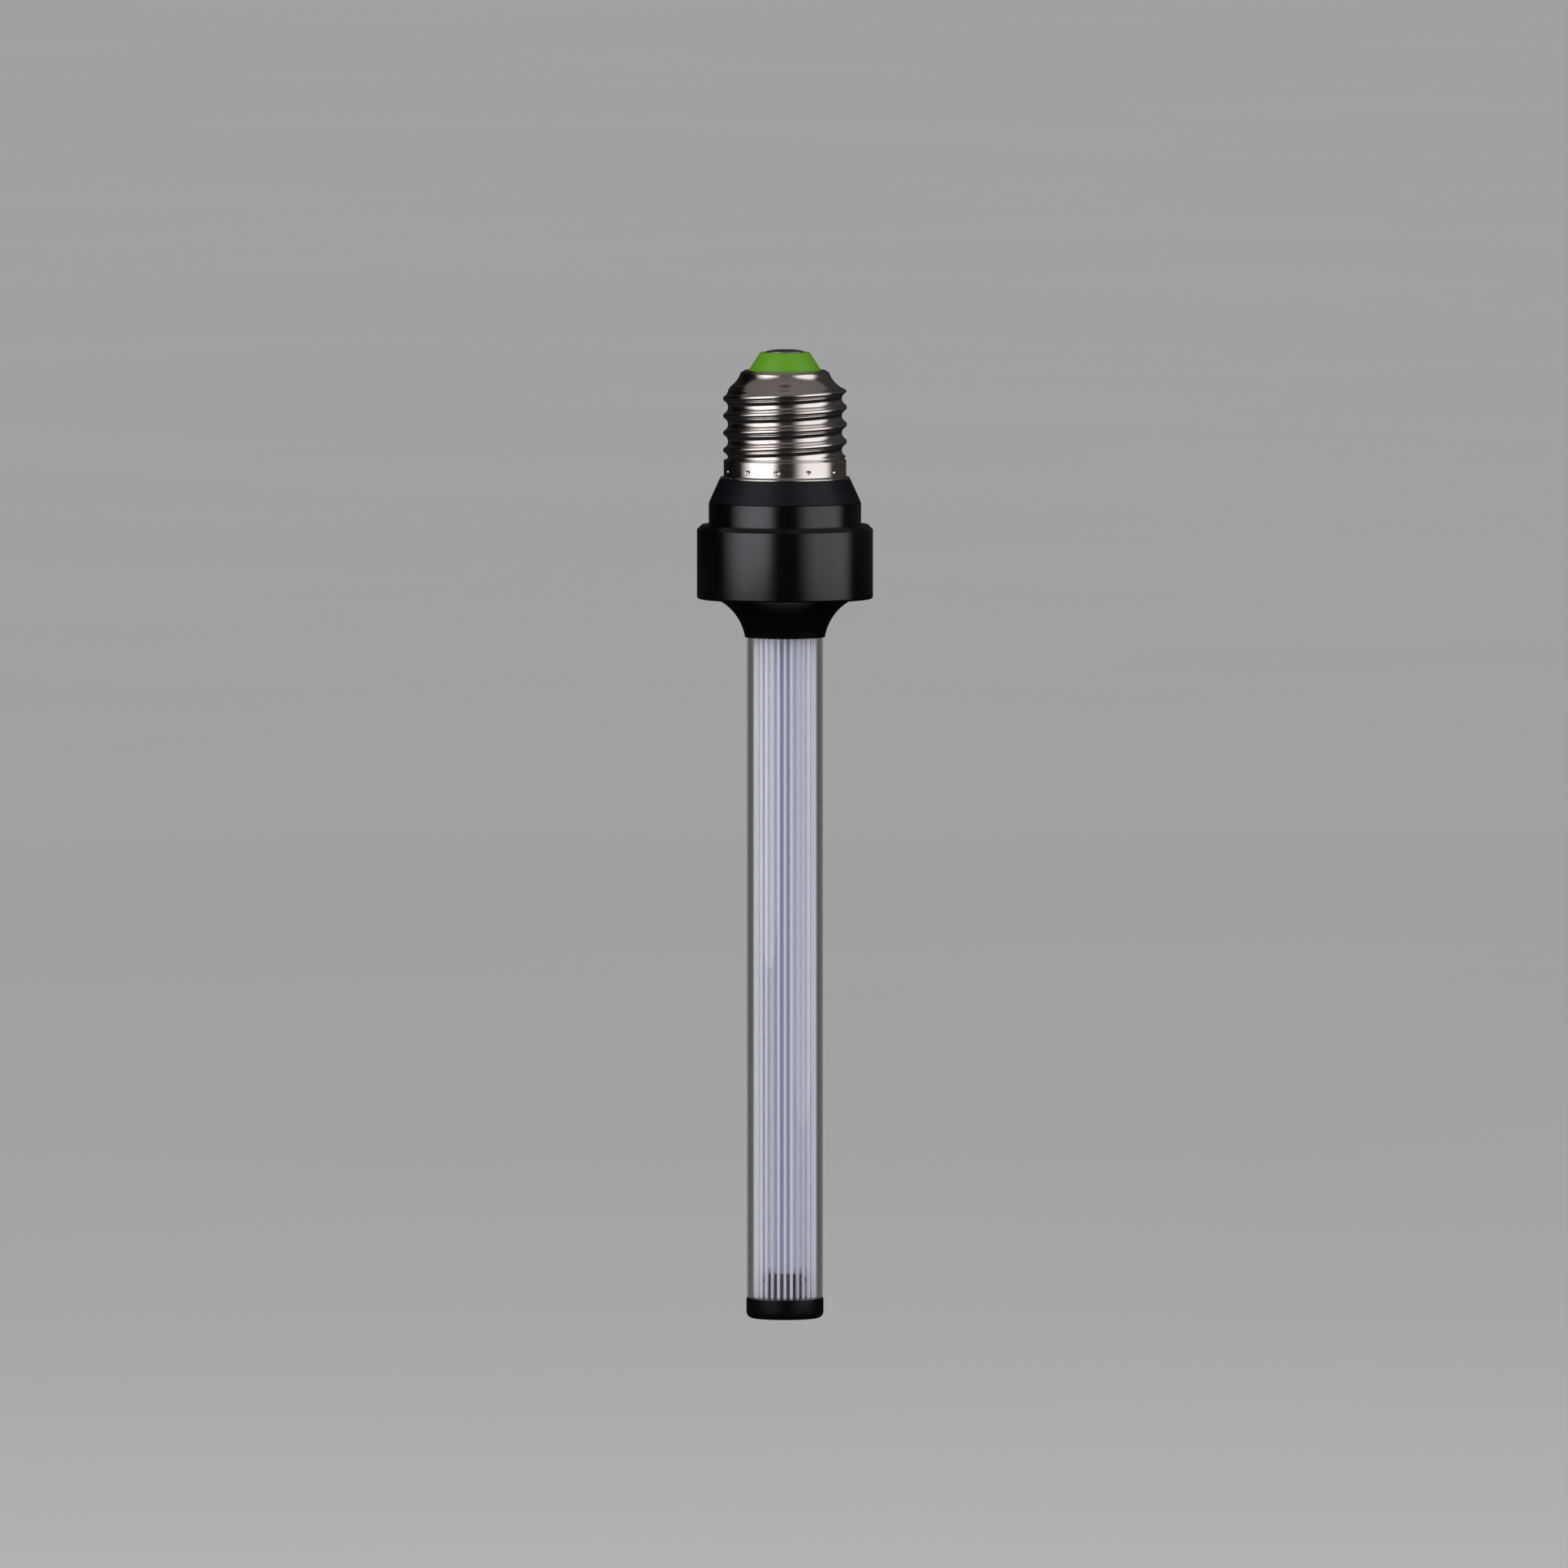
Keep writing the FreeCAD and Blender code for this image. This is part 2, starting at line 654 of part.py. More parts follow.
def board_packages():
    """The moulded components on the front of the driver board."""
    return [
        block("bridge_rectifier", BRIDGE_TOP, "bridge_width", "package_thickness", "bridge_length"),
        block("film_capacitor", FILM_TOP, "film_width", "film_thickness", "film_length"),
        block("driver_chip", CHIP_TOP, "chip_width", "package_thickness", "chip_length"),
    ]


def led_wire_holes():
    """The two round holes behind the driver board that let the LED wires down."""
    return [(f"{side} * led_wire_spacing / 2", f"-{WIRE_OFF_BOARD}", "wire_hole_radius") for side in (1, -1)]


def led_lead(label, side):
    """One of the wires from the back of the driver board down to the LED board."""
    top = f"({DISC_TOP} - led_wire_overlap)"
    body = make_body(label)
    sketch = new_sketch(body, "section", "XY_Plane", top)
    draw_circle(sketch, f"{side} * led_wire_spacing / 2", f"-{WIRE_OFF_BOARD}", "wire_radius")
    pad(body, "wire", sketch, f"{LED_BOARD_END} - {top}")
    return body


def insulating_disc():
    """The thin sheet that keeps the driver off the metal web."""
    radius = f"{COLLAR_BORE} - slip_clearance"
    return round_plate("insulating_disc", radius, DISC_TOP, "disc_thickness", led_wire_holes())


def heat_sink_collar():
    """The turned collar: a ring under the housing's cone, the wide part, and a web that takes the LEDs' heat."""
    body = make_body("heat_sink_collar")
    turn(body, "turning", [
        (COLLAR_BORE, CONE_END),
        ("ring_radius", CONE_END),
        ("ring_radius", COLLAR_TOP),
        ("collar_radius - collar_chamfer", COLLAR_TOP),
        ("collar_radius", f"{COLLAR_TOP} + collar_chamfer"),
        ("collar_radius", f"{COLLAR_END} - collar_edge_chamfer"),
        ("collar_radius - collar_edge_chamfer", COLLAR_END),
        (RECESS_RADIUS, COLLAR_END),
        (RECESS_RADIUS, WEB_UNDER),
        ("0", WEB_UNDER),
        ("0", WEB_TOP),
        (COLLAR_BORE, WEB_TOP),
    ])
    drill(body, "wires", led_wire_holes(), WEB_TOP, "web_thickness")
    return body


def thermal_pad():
    """The soft pad that carries heat from the LED board to the web."""
    return round_plate("thermal_pad", LED_BOARD_RADIUS, WEB_UNDER, "pad_thickness", led_wire_holes())


def led_board():
    """The round metal-cored board that faces down the tube."""
    return round_plate("led_board", LED_BOARD_RADIUS, LED_BOARD_TOP, "led_board_thickness", led_wire_holes())


def led_packages():
    """The ring of LEDs, each over the middle of the light guide's wall."""
    body = make_body("led_packages")
    body.AllowCompound = True
    ring = f"(({GUIDE_BORE} + {GUIDE_RADIUS}) / 2)"
    sketch = new_sketch(body, "package_outline", "XY_Plane", LED_BOARD_END)
    draw_outline(sketch, rectangle(ring, "-led_width / 2", "led_width", "led_width"))
    ring_of(body, "ring", [pad(body, "package", sketch, "led_height")], "led_count")
    return body


def tube_socket():
    """The flared piece under the collar. Its rim clamps the LED board, and its bore holds the outer tube."""
    body = make_body("tube_socket")
    ledge_inside = f"({SOCKET_BORE} - socket_ledge_width)"
    turn(body, "flare", [
        (SOCKET_RIM_INSIDE, LED_BOARD_END),
        (SOCKET_RADIUS, LED_BOARD_END),
        (SOCKET_RADIUS, COLLAR_END),
        *bowed(("flare_top_radius", COLLAR_END), (f"{SOCKET_BORE} + flare_lip_wall", SOCKET_END), "flare_bow", 6),
        (SOCKET_BORE, SOCKET_END),
        (SOCKET_BORE, TUBE_TOP),
        (ledge_inside, TUBE_TOP),
        (ledge_inside, SOCKET_FLOOR),
        (SOCKET_RIM_INSIDE, SOCKET_FLOOR),
    ])
    return body


def outer_tube():
    """The clear tube."""
    body = make_body("outer_tube")
    turn(body, "tube", [
        (TUBE_BORE, TUBE_TOP),
        ("tube_radius", TUBE_TOP),
        ("tube_radius", TUBE_END),
        (TUBE_BORE, TUBE_END),
    ])
    return body


def light_guide():
    """The forked guide: a clear tube whose outside is split into straight ribs that carry the light down. One of
    them faces the viewer."""
    body = make_body("light_guide")
    turn(body, "tube", [
        (GUIDE_BORE, GUIDE_TOP),
        (GUIDE_ROOT, GUIDE_TOP),
        (GUIDE_ROOT, PLUG_SEAT),
        (GUIDE_BORE, PLUG_SEAT),
    ])
    reach = "(fork_height + guide_wall / 2)"
    sketch = new_sketch(body, "fork_section", "XY_Plane", GUIDE_TOP)
    draw_outline(sketch, rectangle("0", f"{GUIDE_RADIUS} - {reach}", "fork_width", reach))
    fork = pad(body, "fork", sketch, f"{PLUG_SEAT} - {GUIDE_TOP}")
    ring_of(body, "forks", [fork], "fork_count")
    return body


def guide_plug():
    """The post and disc that centre the light guide's lower end."""
    body = make_body("guide_plug")
    post_top, pin_end = f"({PLUG_SEAT} - plug_post_height)", f"({PLUG_SEAT} + plug_pin_length)"
    disc_end = f"({PLUG_SEAT} - plug_disc_height)"
    disc_top = f"({disc_end} - plug_disc_thickness)"
    disc_radius = f"({GUIDE_BORE} - seat_clearance)"
    turn(body, "post", [
        ("0", post_top),
        ("plug_post_radius", post_top),
        ("plug_post_radius", disc_top),
        (disc_radius, disc_top),
        (disc_radius, disc_end),
        ("plug_post_radius", disc_end),
        ("plug_post_radius", PLUG_SEAT),
        ("plug_pin_radius", PLUG_SEAT),
        ("plug_pin_radius", pin_end),
        ("0", pin_end),
    ])
    return body


def end_cap():
    """The cap on the tube's end, with a spigot inside the tube and a blind hole for the plug's pin."""
    body = make_body("end_cap")
    radius = "(tube_radius + cap_overhang)"
    spigot = f"({TUBE_BORE} - seat_clearance)"
    hole = "(plug_pin_radius + seat_clearance)"
    hole_end = f"({PLUG_SEAT} + plug_pin_length + slip_clearance)"
    turn(body, "cap", [
        (hole, PLUG_SEAT),
        (spigot, PLUG_SEAT),
        (spigot, TUBE_END),
        (radius, TUBE_END),
        *bowed((radius, f"{LAMP_END} - cap_edge_radius"), (f"{radius} - cap_edge_radius", LAMP_END),
               "-cap_edge_radius * (1 - sqrt(1 / 2))", 2),
        ("0", LAMP_END),
        ("0", hole_end),
        (hole, hole_end),
    ])
    return body


def make_pieces():
    """Every piece of the lamp, from the contact down."""
    return [
        centre_contact(),
        contact_insulator(),
        screw_shell(),
        insulating_housing(),
        live_lead(),
        neutral_lead(),
        fusible_resistor(),
        driver_board(),
        smoothing_capacitor(),
        choke_core(),
        choke_winding(),
        *board_packages(),
        insulating_disc(),
        heat_sink_collar(),
        thermal_pad(),
        led_board(),
        led_packages(),
        led_lead("led_lead_positive", 1),
        led_lead("led_lead_negative", -1),
        tube_socket(),
        outer_tube(),
        light_guide(),
        guide_plug(),
        end_cap(),
    ]


def check_and_write(pieces):
    """Stops on any failed feature or bad solid, and otherwise writes one STEP file for each piece."""
    doc.recompute()
    failed = [o.Name for o in doc.Objects if {"Invalid", "Error"} & set(o.State)]
    if failed:
        raise ValueError(f"features failed: {failed}")
    for piece in pieces:
        if piece.Shape.isNull() or not piece.Shape.isValid() or not piece.Shape.Solids:
            raise ValueError(f"{piece.Label} is not a good solid")
    os.makedirs("parts", exist_ok=True)
    for piece in pieces:
        piece.Shape.exportStep(f"parts/{piece.Label}.step")
        print(f"{piece.Label}: {len(piece.Shape.Solids)} solid, {piece.Shape.Volume:.1f} mm3")


check_and_write(make_pieces())
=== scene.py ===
# %% [markdown]
# # A screw-cap lamp with a forked light guide
# The lamp hangs cap upwards. A green insulator carries the contact, a rolled nickel shell carries the thread, and a
# black collar and flared socket hold a long clear tube. Inside the tube stands the forked guide, a clear pipe with
# thirty straight ribs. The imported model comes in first, as a frame that nothing here may move. Each piece that
# shows is then modelled again, finer, where its node stands, and gets its finish.

# %% Load the frame
import math

import bpy
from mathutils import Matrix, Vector


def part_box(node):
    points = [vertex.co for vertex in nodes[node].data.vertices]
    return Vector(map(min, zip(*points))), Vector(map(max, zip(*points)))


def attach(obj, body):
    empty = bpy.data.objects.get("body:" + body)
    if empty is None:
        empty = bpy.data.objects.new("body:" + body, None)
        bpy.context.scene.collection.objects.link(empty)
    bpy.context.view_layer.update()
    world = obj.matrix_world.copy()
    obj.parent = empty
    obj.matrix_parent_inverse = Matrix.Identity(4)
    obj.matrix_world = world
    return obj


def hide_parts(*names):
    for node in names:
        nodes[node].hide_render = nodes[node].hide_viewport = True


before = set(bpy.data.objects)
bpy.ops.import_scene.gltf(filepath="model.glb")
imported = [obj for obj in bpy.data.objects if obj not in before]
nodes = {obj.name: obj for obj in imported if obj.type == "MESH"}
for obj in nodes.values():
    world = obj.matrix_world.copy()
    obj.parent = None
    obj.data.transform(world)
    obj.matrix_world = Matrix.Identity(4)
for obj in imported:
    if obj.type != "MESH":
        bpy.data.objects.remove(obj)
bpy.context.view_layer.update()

# %% [markdown]
# ## Working in millimetres down the axis
# Blender works in metres, but a lamp is drawn in millimetres. Every turned piece is described by corners, each a
# radius and a depth below the tip of the contact. These first helpers turn such a pair into a place in the scene,
# and say how well a finished piece fills the box of the node it stands for.

# %% Places and checks
MM = 0.001


def at(radius, depth):
    """The point at a radius and a depth, on the side where every outline is drawn."""
    return Vector((radius * MM, 0, -depth * MM))


def radius_of(point):
    """How far a point is from the axis, in millimetres."""
    return math.hypot(point.x, point.y) / MM


def depth_of(point):
    """How far a point is below the contact's tip, in millimetres."""
    return -point.z / MM


def angle_of(point):
    """A point's angle about the axis, in degrees, counted from the right-hand side."""
    return math.degrees(math.atan2(point.y, point.x))


def fit_of(piece, node):
    """The largest difference between a piece's box and its node's, in millimetres."""
    low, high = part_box(node)
    points = [vertex.co for vertex in piece.data.vertices]
    ends = [(min(p[i] for p in points), max(p[i] for p in points)) for i in range(3)]
    return max(abs(e - f) / MM for i in range(3) for e, f in zip(ends[i], (low[i], high[i])))


# %% [markdown]
# ## Drawing an outline and spinning it
# Most of this lamp is turned on a lathe or drawn from round sheet, so most pieces are one outline spun about the
# axis. Blender's lathe is the spin operator. The outline starts as a small plane whose corners are merged into one
# point, and that point is extruded from corner to corner, as a draughtsman moves a pencil. Curves are drawn as short
# steps along a true arc, which the `arc` helper lays out.


# %% Edit-mode helpers
def pick(piece, wanted):
    """Selects the points of the piece in hand that pass a test."""
    bpy.ops.mesh.select_all(action="DESELECT")
    bpy.ops.object.mode_set(mode="OBJECT")
    for vertex in piece.data.vertices:
        vertex.select = wanted(vertex.co)
    bpy.ops.object.mode_set(mode="EDIT")


def start_outline(name, place):
    """Makes a new piece that is one point, ready to be drawn out."""
    bpy.ops.object.select_all(action="DESELECT")
    bpy.ops.mesh.primitive_plane_add(size=MM)
    piece = bpy.context.active_object
    piece.name = piece.data.name = name
    bpy.ops.object.mode_set(mode="EDIT")
    bpy.ops.mesh.select_mode(type="VERT")
    bpy.ops.mesh.merge(type="CENTER")
    bpy.ops.transform.translate(value=place)
    return piece


def arc(start, end, bow, steps):
    """Corners along a round arc between two corners. Its middle stands off the straight way by the bow, to the
    left as it runs on in radius and depth."""
    (r0, d0), (r1, d1) = start, end
    half = math.dist(start, end) / 2
    size = (half * half + bow * bow) / (2 * abs(bow))
    side = 1 if bow > 0 else -1
    across = (-(d1 - d0) / (2 * half) * side, (r1 - r0) / (2 * half) * side)
    centre = ((r0 + r1) / 2 - across[0] * (size - abs(bow)), (d0 + d1) / 2 - across[1] * (size - abs(bow)))
    first = math.atan2(d0 - centre[1], r0 - centre[0])
    sweep = (math.atan2(d1 - centre[1], r1 - centre[0]) - first + math.pi) % (2 * math.pi) - math.pi
    turns = [first + sweep * i / steps for i in range(steps + 1)]
    return [(centre[0] + size * math.cos(t), centre[1] + size * math.sin(t)) for t in turns]


def draw(name, corners, closed=True):
    """Draws an outline through its corners, and closes it back to the first."""
    piece = start_outline(name, at(*corners[0]))
    for here, there in zip(corners, corners[1:]):
        move = at(*there) - at(*here)
        bpy.ops.mesh.extrude_vertices_move(TRANSFORM_OT_translate={"value": move})
    if closed:
        ends = (at(*corners[0]), at(*corners[-1]))
        pick(piece, lambda co: min((co - end).length for end in ends) < 0.001 * MM)
        bpy.ops.mesh.edge_face_add()
    return piece


def spin_round(steps):
    """Spins the outline once about the axis, and closes the seam and the poles."""
    bpy.ops.mesh.select_all(action="SELECT")
    bpy.ops.mesh.spin(steps=steps, angle=2 * math.pi, center=(0, 0, 0), axis=(0, 0, 1))
    bpy.ops.mesh.select_all(action="SELECT")
    bpy.ops.mesh.remove_doubles(threshold=0.002 * MM)
    bpy.ops.mesh.normals_make_consistent(inside=False)
    bpy.ops.object.mode_set(mode="OBJECT")


# %% [markdown]
# ## Breaking the edges
# No real edge is perfectly sharp. Smooth shading by angle first hides the steps of the spin, and keeps the corners
# crisp. A bevel modifier that only acts on those corners then breaks each a little, so that it catches a line of
# light. Its hardened normals keep the long walls beside it truly flat, which clear plastic shows at once when it is
# wrong. The finished piece takes its finish, rides on the lamp's one body, and stands for its node.


# %% Finish a piece
def apply(piece, kind, **settings):
    """Adds a modifier with its settings to the piece and applies it."""
    bpy.context.view_layer.objects.active = piece
    bpy.ops.object.modifier_add(type=kind)
    modifier = piece.modifiers[-1]
    for key, value in settings.items():
        setattr(modifier, key, value)
    bpy.ops.object.modifier_apply(modifier=modifier.name)


def smooth(piece, angle=35):
    """Shades the piece smooth, except over edges that turn by more than the angle, in degrees."""
    bpy.ops.object.select_all(action="DESELECT")
    piece.select_set(True)
    bpy.context.view_layer.objects.active = piece
    bpy.ops.object.shade_smooth_by_angle(angle=math.radians(angle))


def break_edges(piece, width, segments=3):
    """Rounds the sharp edges by a width in millimetres."""
    smooth(piece)
    apply(piece, "BEVEL", width=width * MM, segments=segments, limit_method="ANGLE",
          angle_limit=math.radians(35), harden_normals=True)


def finish(piece, node, material):
    """Paints the piece and puts it in its node's place."""
    piece.data.materials.clear()
    piece.data.materials.append(material)
    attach(piece, "root")
    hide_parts(node)
    faces = sum(len(face.vertices) - 2 for face in piece.data.polygons)
    print(f"{piece.name}: {faces} triangles, box within {fit_of(piece, node):.2f} mm of its node")


# %% [markdown]
# ## Finishes
# A finish is more than a colour. Each one here is a Principled shader whose roughness and surface are stirred by
# noise at the scale of the real texture. Noise reads Object coordinates, which are metres, so a grain of a tenth of a
# millimetre needs a scale in the thousands. `stretch` squeezes the pattern along one axis: turned and rolled metal
# carries fine lines round it, which is noise squeezed along the axis.


# %% Finish helpers
def principled(name, colour, roughness, **sockets):
    """A new material with a Principled shader, its plain values set on the shader itself."""
    material = bpy.data.materials.new(name)
    material.use_nodes = True
    shader = material.node_tree.nodes["Principled BSDF"]
    shader.inputs["Base Color"].default_value = (*colour, 1)
    shader.inputs["Roughness"].default_value = roughness
    for socket, value in sockets.items():
        shader.inputs[socket.replace("_", " ")].default_value = value
    return material


def noise(material, scale, stretch=(1, 1, 1), detail=3):
    """Noise on the piece's own coordinates, squeezed where stretch is above one."""
    tree = material.node_tree
    place = tree.nodes.new("ShaderNodeTexCoord")
    squeeze = tree.nodes.new("ShaderNodeMapping")
    texture = tree.nodes.new("ShaderNodeTexNoise")
    squeeze.inputs["Scale"].default_value = stretch
    texture.inputs["Scale"].default_value = scale
    texture.inputs["Detail"].default_value = detail
    tree.links.new(place.outputs["Object"], squeeze.inputs["Vector"])
    tree.links.new(squeeze.outputs["Vector"], texture.inputs["Vector"])
    return texture.outputs["Fac"]


def spread(material, value, low, high, start=0.3, end=0.7):
    """Spreads a noise value between two limits."""
    reach = material.node_tree.nodes.new("ShaderNodeMapRange")
    for socket, number in zip(("From Min", "From Max", "To Min", "To Max"), (start, end, low, high)):
        reach.inputs[socket].default_value = number
    material.node_tree.links.new(value, reach.inputs["Value"])
    return reach.outputs["Result"]


def vary_roughness(material, low, high, scale, stretch=(1, 1, 1)):
    """Lets the gloss come and go over the surface."""
    value = spread(material, noise(material, scale, stretch), low, high)
    material.node_tree.links.new(value, material.node_tree.nodes["Principled BSDF"].inputs["Roughness"])


def mix_colours(material, value, first, second):
    """Goes from the first colour to the second as the value runs from 0 to 1."""
    tree = material.node_tree
    mix = tree.nodes.new("ShaderNodeMix")
    mix.data_type = "RGBA"
    mix.inputs["A"].default_value = (*first, 1)
    mix.inputs["B"].default_value = (*second, 1)
    tree.links.new(value, mix.inputs["Factor"])
    return mix.outputs["Result"]


def vary_colour(material, first, second, scale, stretch=(1, 1, 1)):
    """Mixes two near colours over the surface."""
    value = spread(material, noise(material, scale, stretch), 0, 1)
    tree = material.node_tree
    tree.links.new(mix_colours(material, value, first, second), tree.nodes["Principled BSDF"].inputs["Base Color"])


def add_grain(material, scale, height, stretch=(1, 1, 1)):
    """Raises the noise as a bump of a height in millimetres."""
    tree = material.node_tree
    bump = tree.nodes.new("ShaderNodeBump")
    bump.inputs["Distance"].default_value = height * MM
    bump.inputs["Strength"].default_value = 1.0
    tree.links.new(noise(material, scale, stretch), bump.inputs["Height"])
    tree.links.new(bump.outputs["Normal"], tree.nodes["Principled BSDF"].inputs["Normal"])


# %% [markdown]
# ## The camera
# The photograph is taken almost square on, from a little above, with so long a lens that the two sides of the collar
# look parallel. The frame is 331 mm high at the lamp, and its middle is 91.9 mm below the contact's tip. The
# distance follows from the frame's height, the 800 mm lens and the 36 mm sensor.

# %% Place the camera
FRAME_HEIGHT = 0.3313
LENS, SENSOR = 800, 36
LOOK_DOWN = math.radians(3.5)
aim = Vector((-0.0002, 0, -0.0919))
distance = FRAME_HEIGHT * LENS / SENSOR
bpy.ops.object.camera_add(location=aim + Vector((0, -math.cos(LOOK_DOWN), math.sin(LOOK_DOWN))) * distance,
                          rotation=(math.pi / 2 - LOOK_DOWN, 0, 0))
camera = bpy.context.active_object
camera.name = "camera"
camera.data.lens = LENS
camera.data.sensor_width = SENSOR
camera.data.clip_end = 200
bpy.context.scene.camera = camera
print(f"camera {distance:.2f} m away, looking down by {math.degrees(LOOK_DOWN):.1f} degrees")

# %% [markdown]
# ## The contact
# At the very tip sits a pressed rivet. Its head is a shallow dome with a rolled edge, and its shank runs down through
# the insulator. The dome is a true arc here. The metal is tinned and a little dull, with a faint violet cast.

# %% Contact finish and piece
contact_metal = principled("contact_metal", (0.46, 0.43, 0.51), 0.34, Metallic=1.0)
vary_colour(contact_metal, (0.40, 0.37, 0.45), (0.52, 0.49, 0.57), 420)
vary_roughness(contact_metal, 0.26, 0.44, 900)
add_grain(contact_metal, 2600, 0.01)

contact = draw("contact_rivet", [
    (0, 0),
    *arc((1.2, 0), (4.0, 0.36), -0.12, 10),
    (4.1, 0.42),
    (4.1, 0.55),
    (1.1, 0.55),
    (1.1, 10.15),
    (0, 10.15),
], closed=False)
spin_round(96)
break_edges(contact, 0.04)
finish(contact, "centre_contact", contact_metal)

# %% [markdown]
# ## The green insulator
# A moulded cone keeps the contact apart from the shell. It is a strong, slightly glossy green, even in colour, with
# the soft unevenness of moulded plastic. A little light enters the plastic, which a small subsurface weight gives.

# %% Insulator finish and piece
insulator_green = principled("insulator_green", (0.096, 0.300, 0.0043), 0.4, Subsurface_Weight=0.08,
                             Subsurface_Scale=0.001, Specular_IOR_Level=0.35)
vary_colour(insulator_green, (0.093, 0.294, 0.0036), (0.100, 0.308, 0.0050), 260)
vary_roughness(insulator_green, 0.36, 0.48, 700)
add_grain(insulator_green, 1500, 0.012)

insulator = draw("insulator_cone", [
    (1.15, 0.55), (5.2, 0.55), (7.65, 4.35), (7.65, 4.7), (8.15, 4.7), (8.15, 8.5), (6.5, 8.5), (6.5, 10.0),
    (1.15, 10.0),
])
spin_round(128)
break_edges(insulator, 0.16)
finish(insulator, "contact_insulator", insulator_green)

# %% [markdown]
# ## The rolled shell
# The shell is drawn from thin sheet like a cup, and two rollers then press the thread into it. It is modelled in the
# same order. First comes the smooth cup, whose long wall is subdivided so that it can take the thread. Then each of
# its points is pressed in or out by the thread's profile: tight round crests and wide round roots, meeting in a
# common tangent. The thread climbs to the right at the front, fades out of the shoulder at the top, and runs out into
# the plain skirt. Solidify gives the sheet its thickness, and the ring of punch marks is cut last.

# %% Thread profile
PITCH = 3.629
ROOT, CREST = 12.05, 13.08
CREST_DEPTH = 8.55
FADE_IN, RUN_OUT = (7.5, 8.9), (22.5, 23.35)
BOTH_BENDS = ((PITCH / 2) ** 2 + (CREST - ROOT) ** 2) / (2 * (CREST - ROOT))
CREST_BEND = 0.66
ROOT_BEND = BOTH_BENDS - CREST_BEND


def thread_rise(angle, depth):
    """How far the thread stands above its root at an angle and a depth, in millimetres."""
    crest = CREST_DEPTH - PITCH * angle / 360
    away = abs((depth - crest + PITCH / 2) % PITCH - PITCH / 2)
    if away < PITCH / 2 * CREST_BEND / BOTH_BENDS:
        return CREST - ROOT - CREST_BEND + math.sqrt(CREST_BEND ** 2 - away ** 2)
    return ROOT_BEND - math.sqrt(ROOT_BEND ** 2 - (PITCH / 2 - away) ** 2)


def ease(value, start, end):
    """Runs smoothly from 0 at the start to 1 at the end."""
    share = min(1, max(0, (value - start) / (end - start)))
    return share * share * (3 - 2 * share)


print(f"crests bent to {CREST_BEND:.2f} mm, roots to {ROOT_BEND:.2f} mm")

# %% Draw the cup
shell = draw("rolled_shell", [
    (7.9, 4.35),
    (8.35, 4.35),
    *arc((8.6, 4.37), (9.2, 4.72), 0.07, 4),
    *arc((9.35, 4.86), (11.45, 7.7), 0.28, 12),
    *arc((11.6, 8.0), (ROOT, 8.65), -0.05, 4),
    (ROOT, 22.75),
    *arc((12.12, 22.95), (12.88, 23.3), 0.02, 5),
    *[(12.95, 23.5 + 0.3 * i) for i in range(11)],
    *arc((13.0, 26.75), (13.25, 26.9), -0.05, 4),
    (13.6, 26.93),
    (13.7, 27.03),
    (13.7, 27.39),
], closed=False)
pick(shell, lambda co: abs(radius_of(co) - ROOT) < 0.001 and 8.6 < depth_of(co) < 22.8)
bpy.ops.mesh.subdivide(number_cuts=99)
spin_round(168)
print("points to press:", len(shell.data.vertices))

# %% Press the thread
for vertex in shell.data.vertices:
    depth = depth_of(vertex.co)
    hold = ease(depth, *FADE_IN) * (1 - ease(depth, *RUN_OUT))
    rise = thread_rise(angle_of(vertex.co), depth) * hold
    grow = (radius_of(vertex.co) + rise) / radius_of(vertex.co)
    vertex.co.x *= grow
    vertex.co.y *= grow

outward = sum(face.normal.x * face.center.x + face.normal.y * face.center.y for face in shell.data.polygons)
if outward < 0:
    bpy.context.view_layer.objects.active = shell
    bpy.ops.object.mode_set(mode="EDIT")
    bpy.ops.mesh.select_all(action="SELECT")
    bpy.ops.mesh.flip_normals()
    bpy.ops.object.mode_set(mode="OBJECT")
SHEET = 0.3
apply(shell, "SOLIDIFY", thickness=SHEET * MM, offset=-1, use_even_offset=False, use_rim=True)
print(f"shell sheet is {SHEET} mm thick")

# %% Cut the punch marks
PUNCHES, PUNCH_SIZE, PUNCH_RING, PUNCH_DEPTH = 12, 0.56, 13.27, 25.5
FIRST_PUNCH, PUNCH_STEP = math.radians(22.5), math.radians(360 / PUNCHES)
bpy.ops.object.select_all(action="DESELECT")
bpy.ops.mesh.primitive_uv_sphere_add(segments=20, ring_count=12, radius=PUNCH_SIZE * MM, location=(
    PUNCH_RING * MM * math.cos(FIRST_PUNCH), PUNCH_RING * MM * math.sin(FIRST_PUNCH), -PUNCH_DEPTH * MM))
punch = bpy.context.active_object
bpy.ops.object.transform_apply(location=True, rotation=True, scale=True)
bpy.ops.object.mode_set(mode="EDIT")
bpy.ops.mesh.select_all(action="SELECT")
bpy.ops.mesh.spin(steps=PUNCHES - 1, dupli=True, angle=PUNCH_STEP * (PUNCHES - 1), center=(0, 0, 0),
                  axis=(0, 0, 1))
bpy.ops.object.mode_set(mode="OBJECT")
apply(shell, "BOOLEAN", operation="DIFFERENCE", object=punch, solver="EXACT")
bpy.data.objects.remove(punch)
smooth(shell, 50)
print("punch marks:", PUNCHES)

# %% [markdown]
# The thread climbs across the rows of points, so normals averaged from the faces waver along each crest, and
# polished metal shows that as ragged highlights. The profile is known, so the true normal is too. It leans by how
# fast the wall's radius changes round the lamp and down it, and the mesh keeps it as a custom normal.

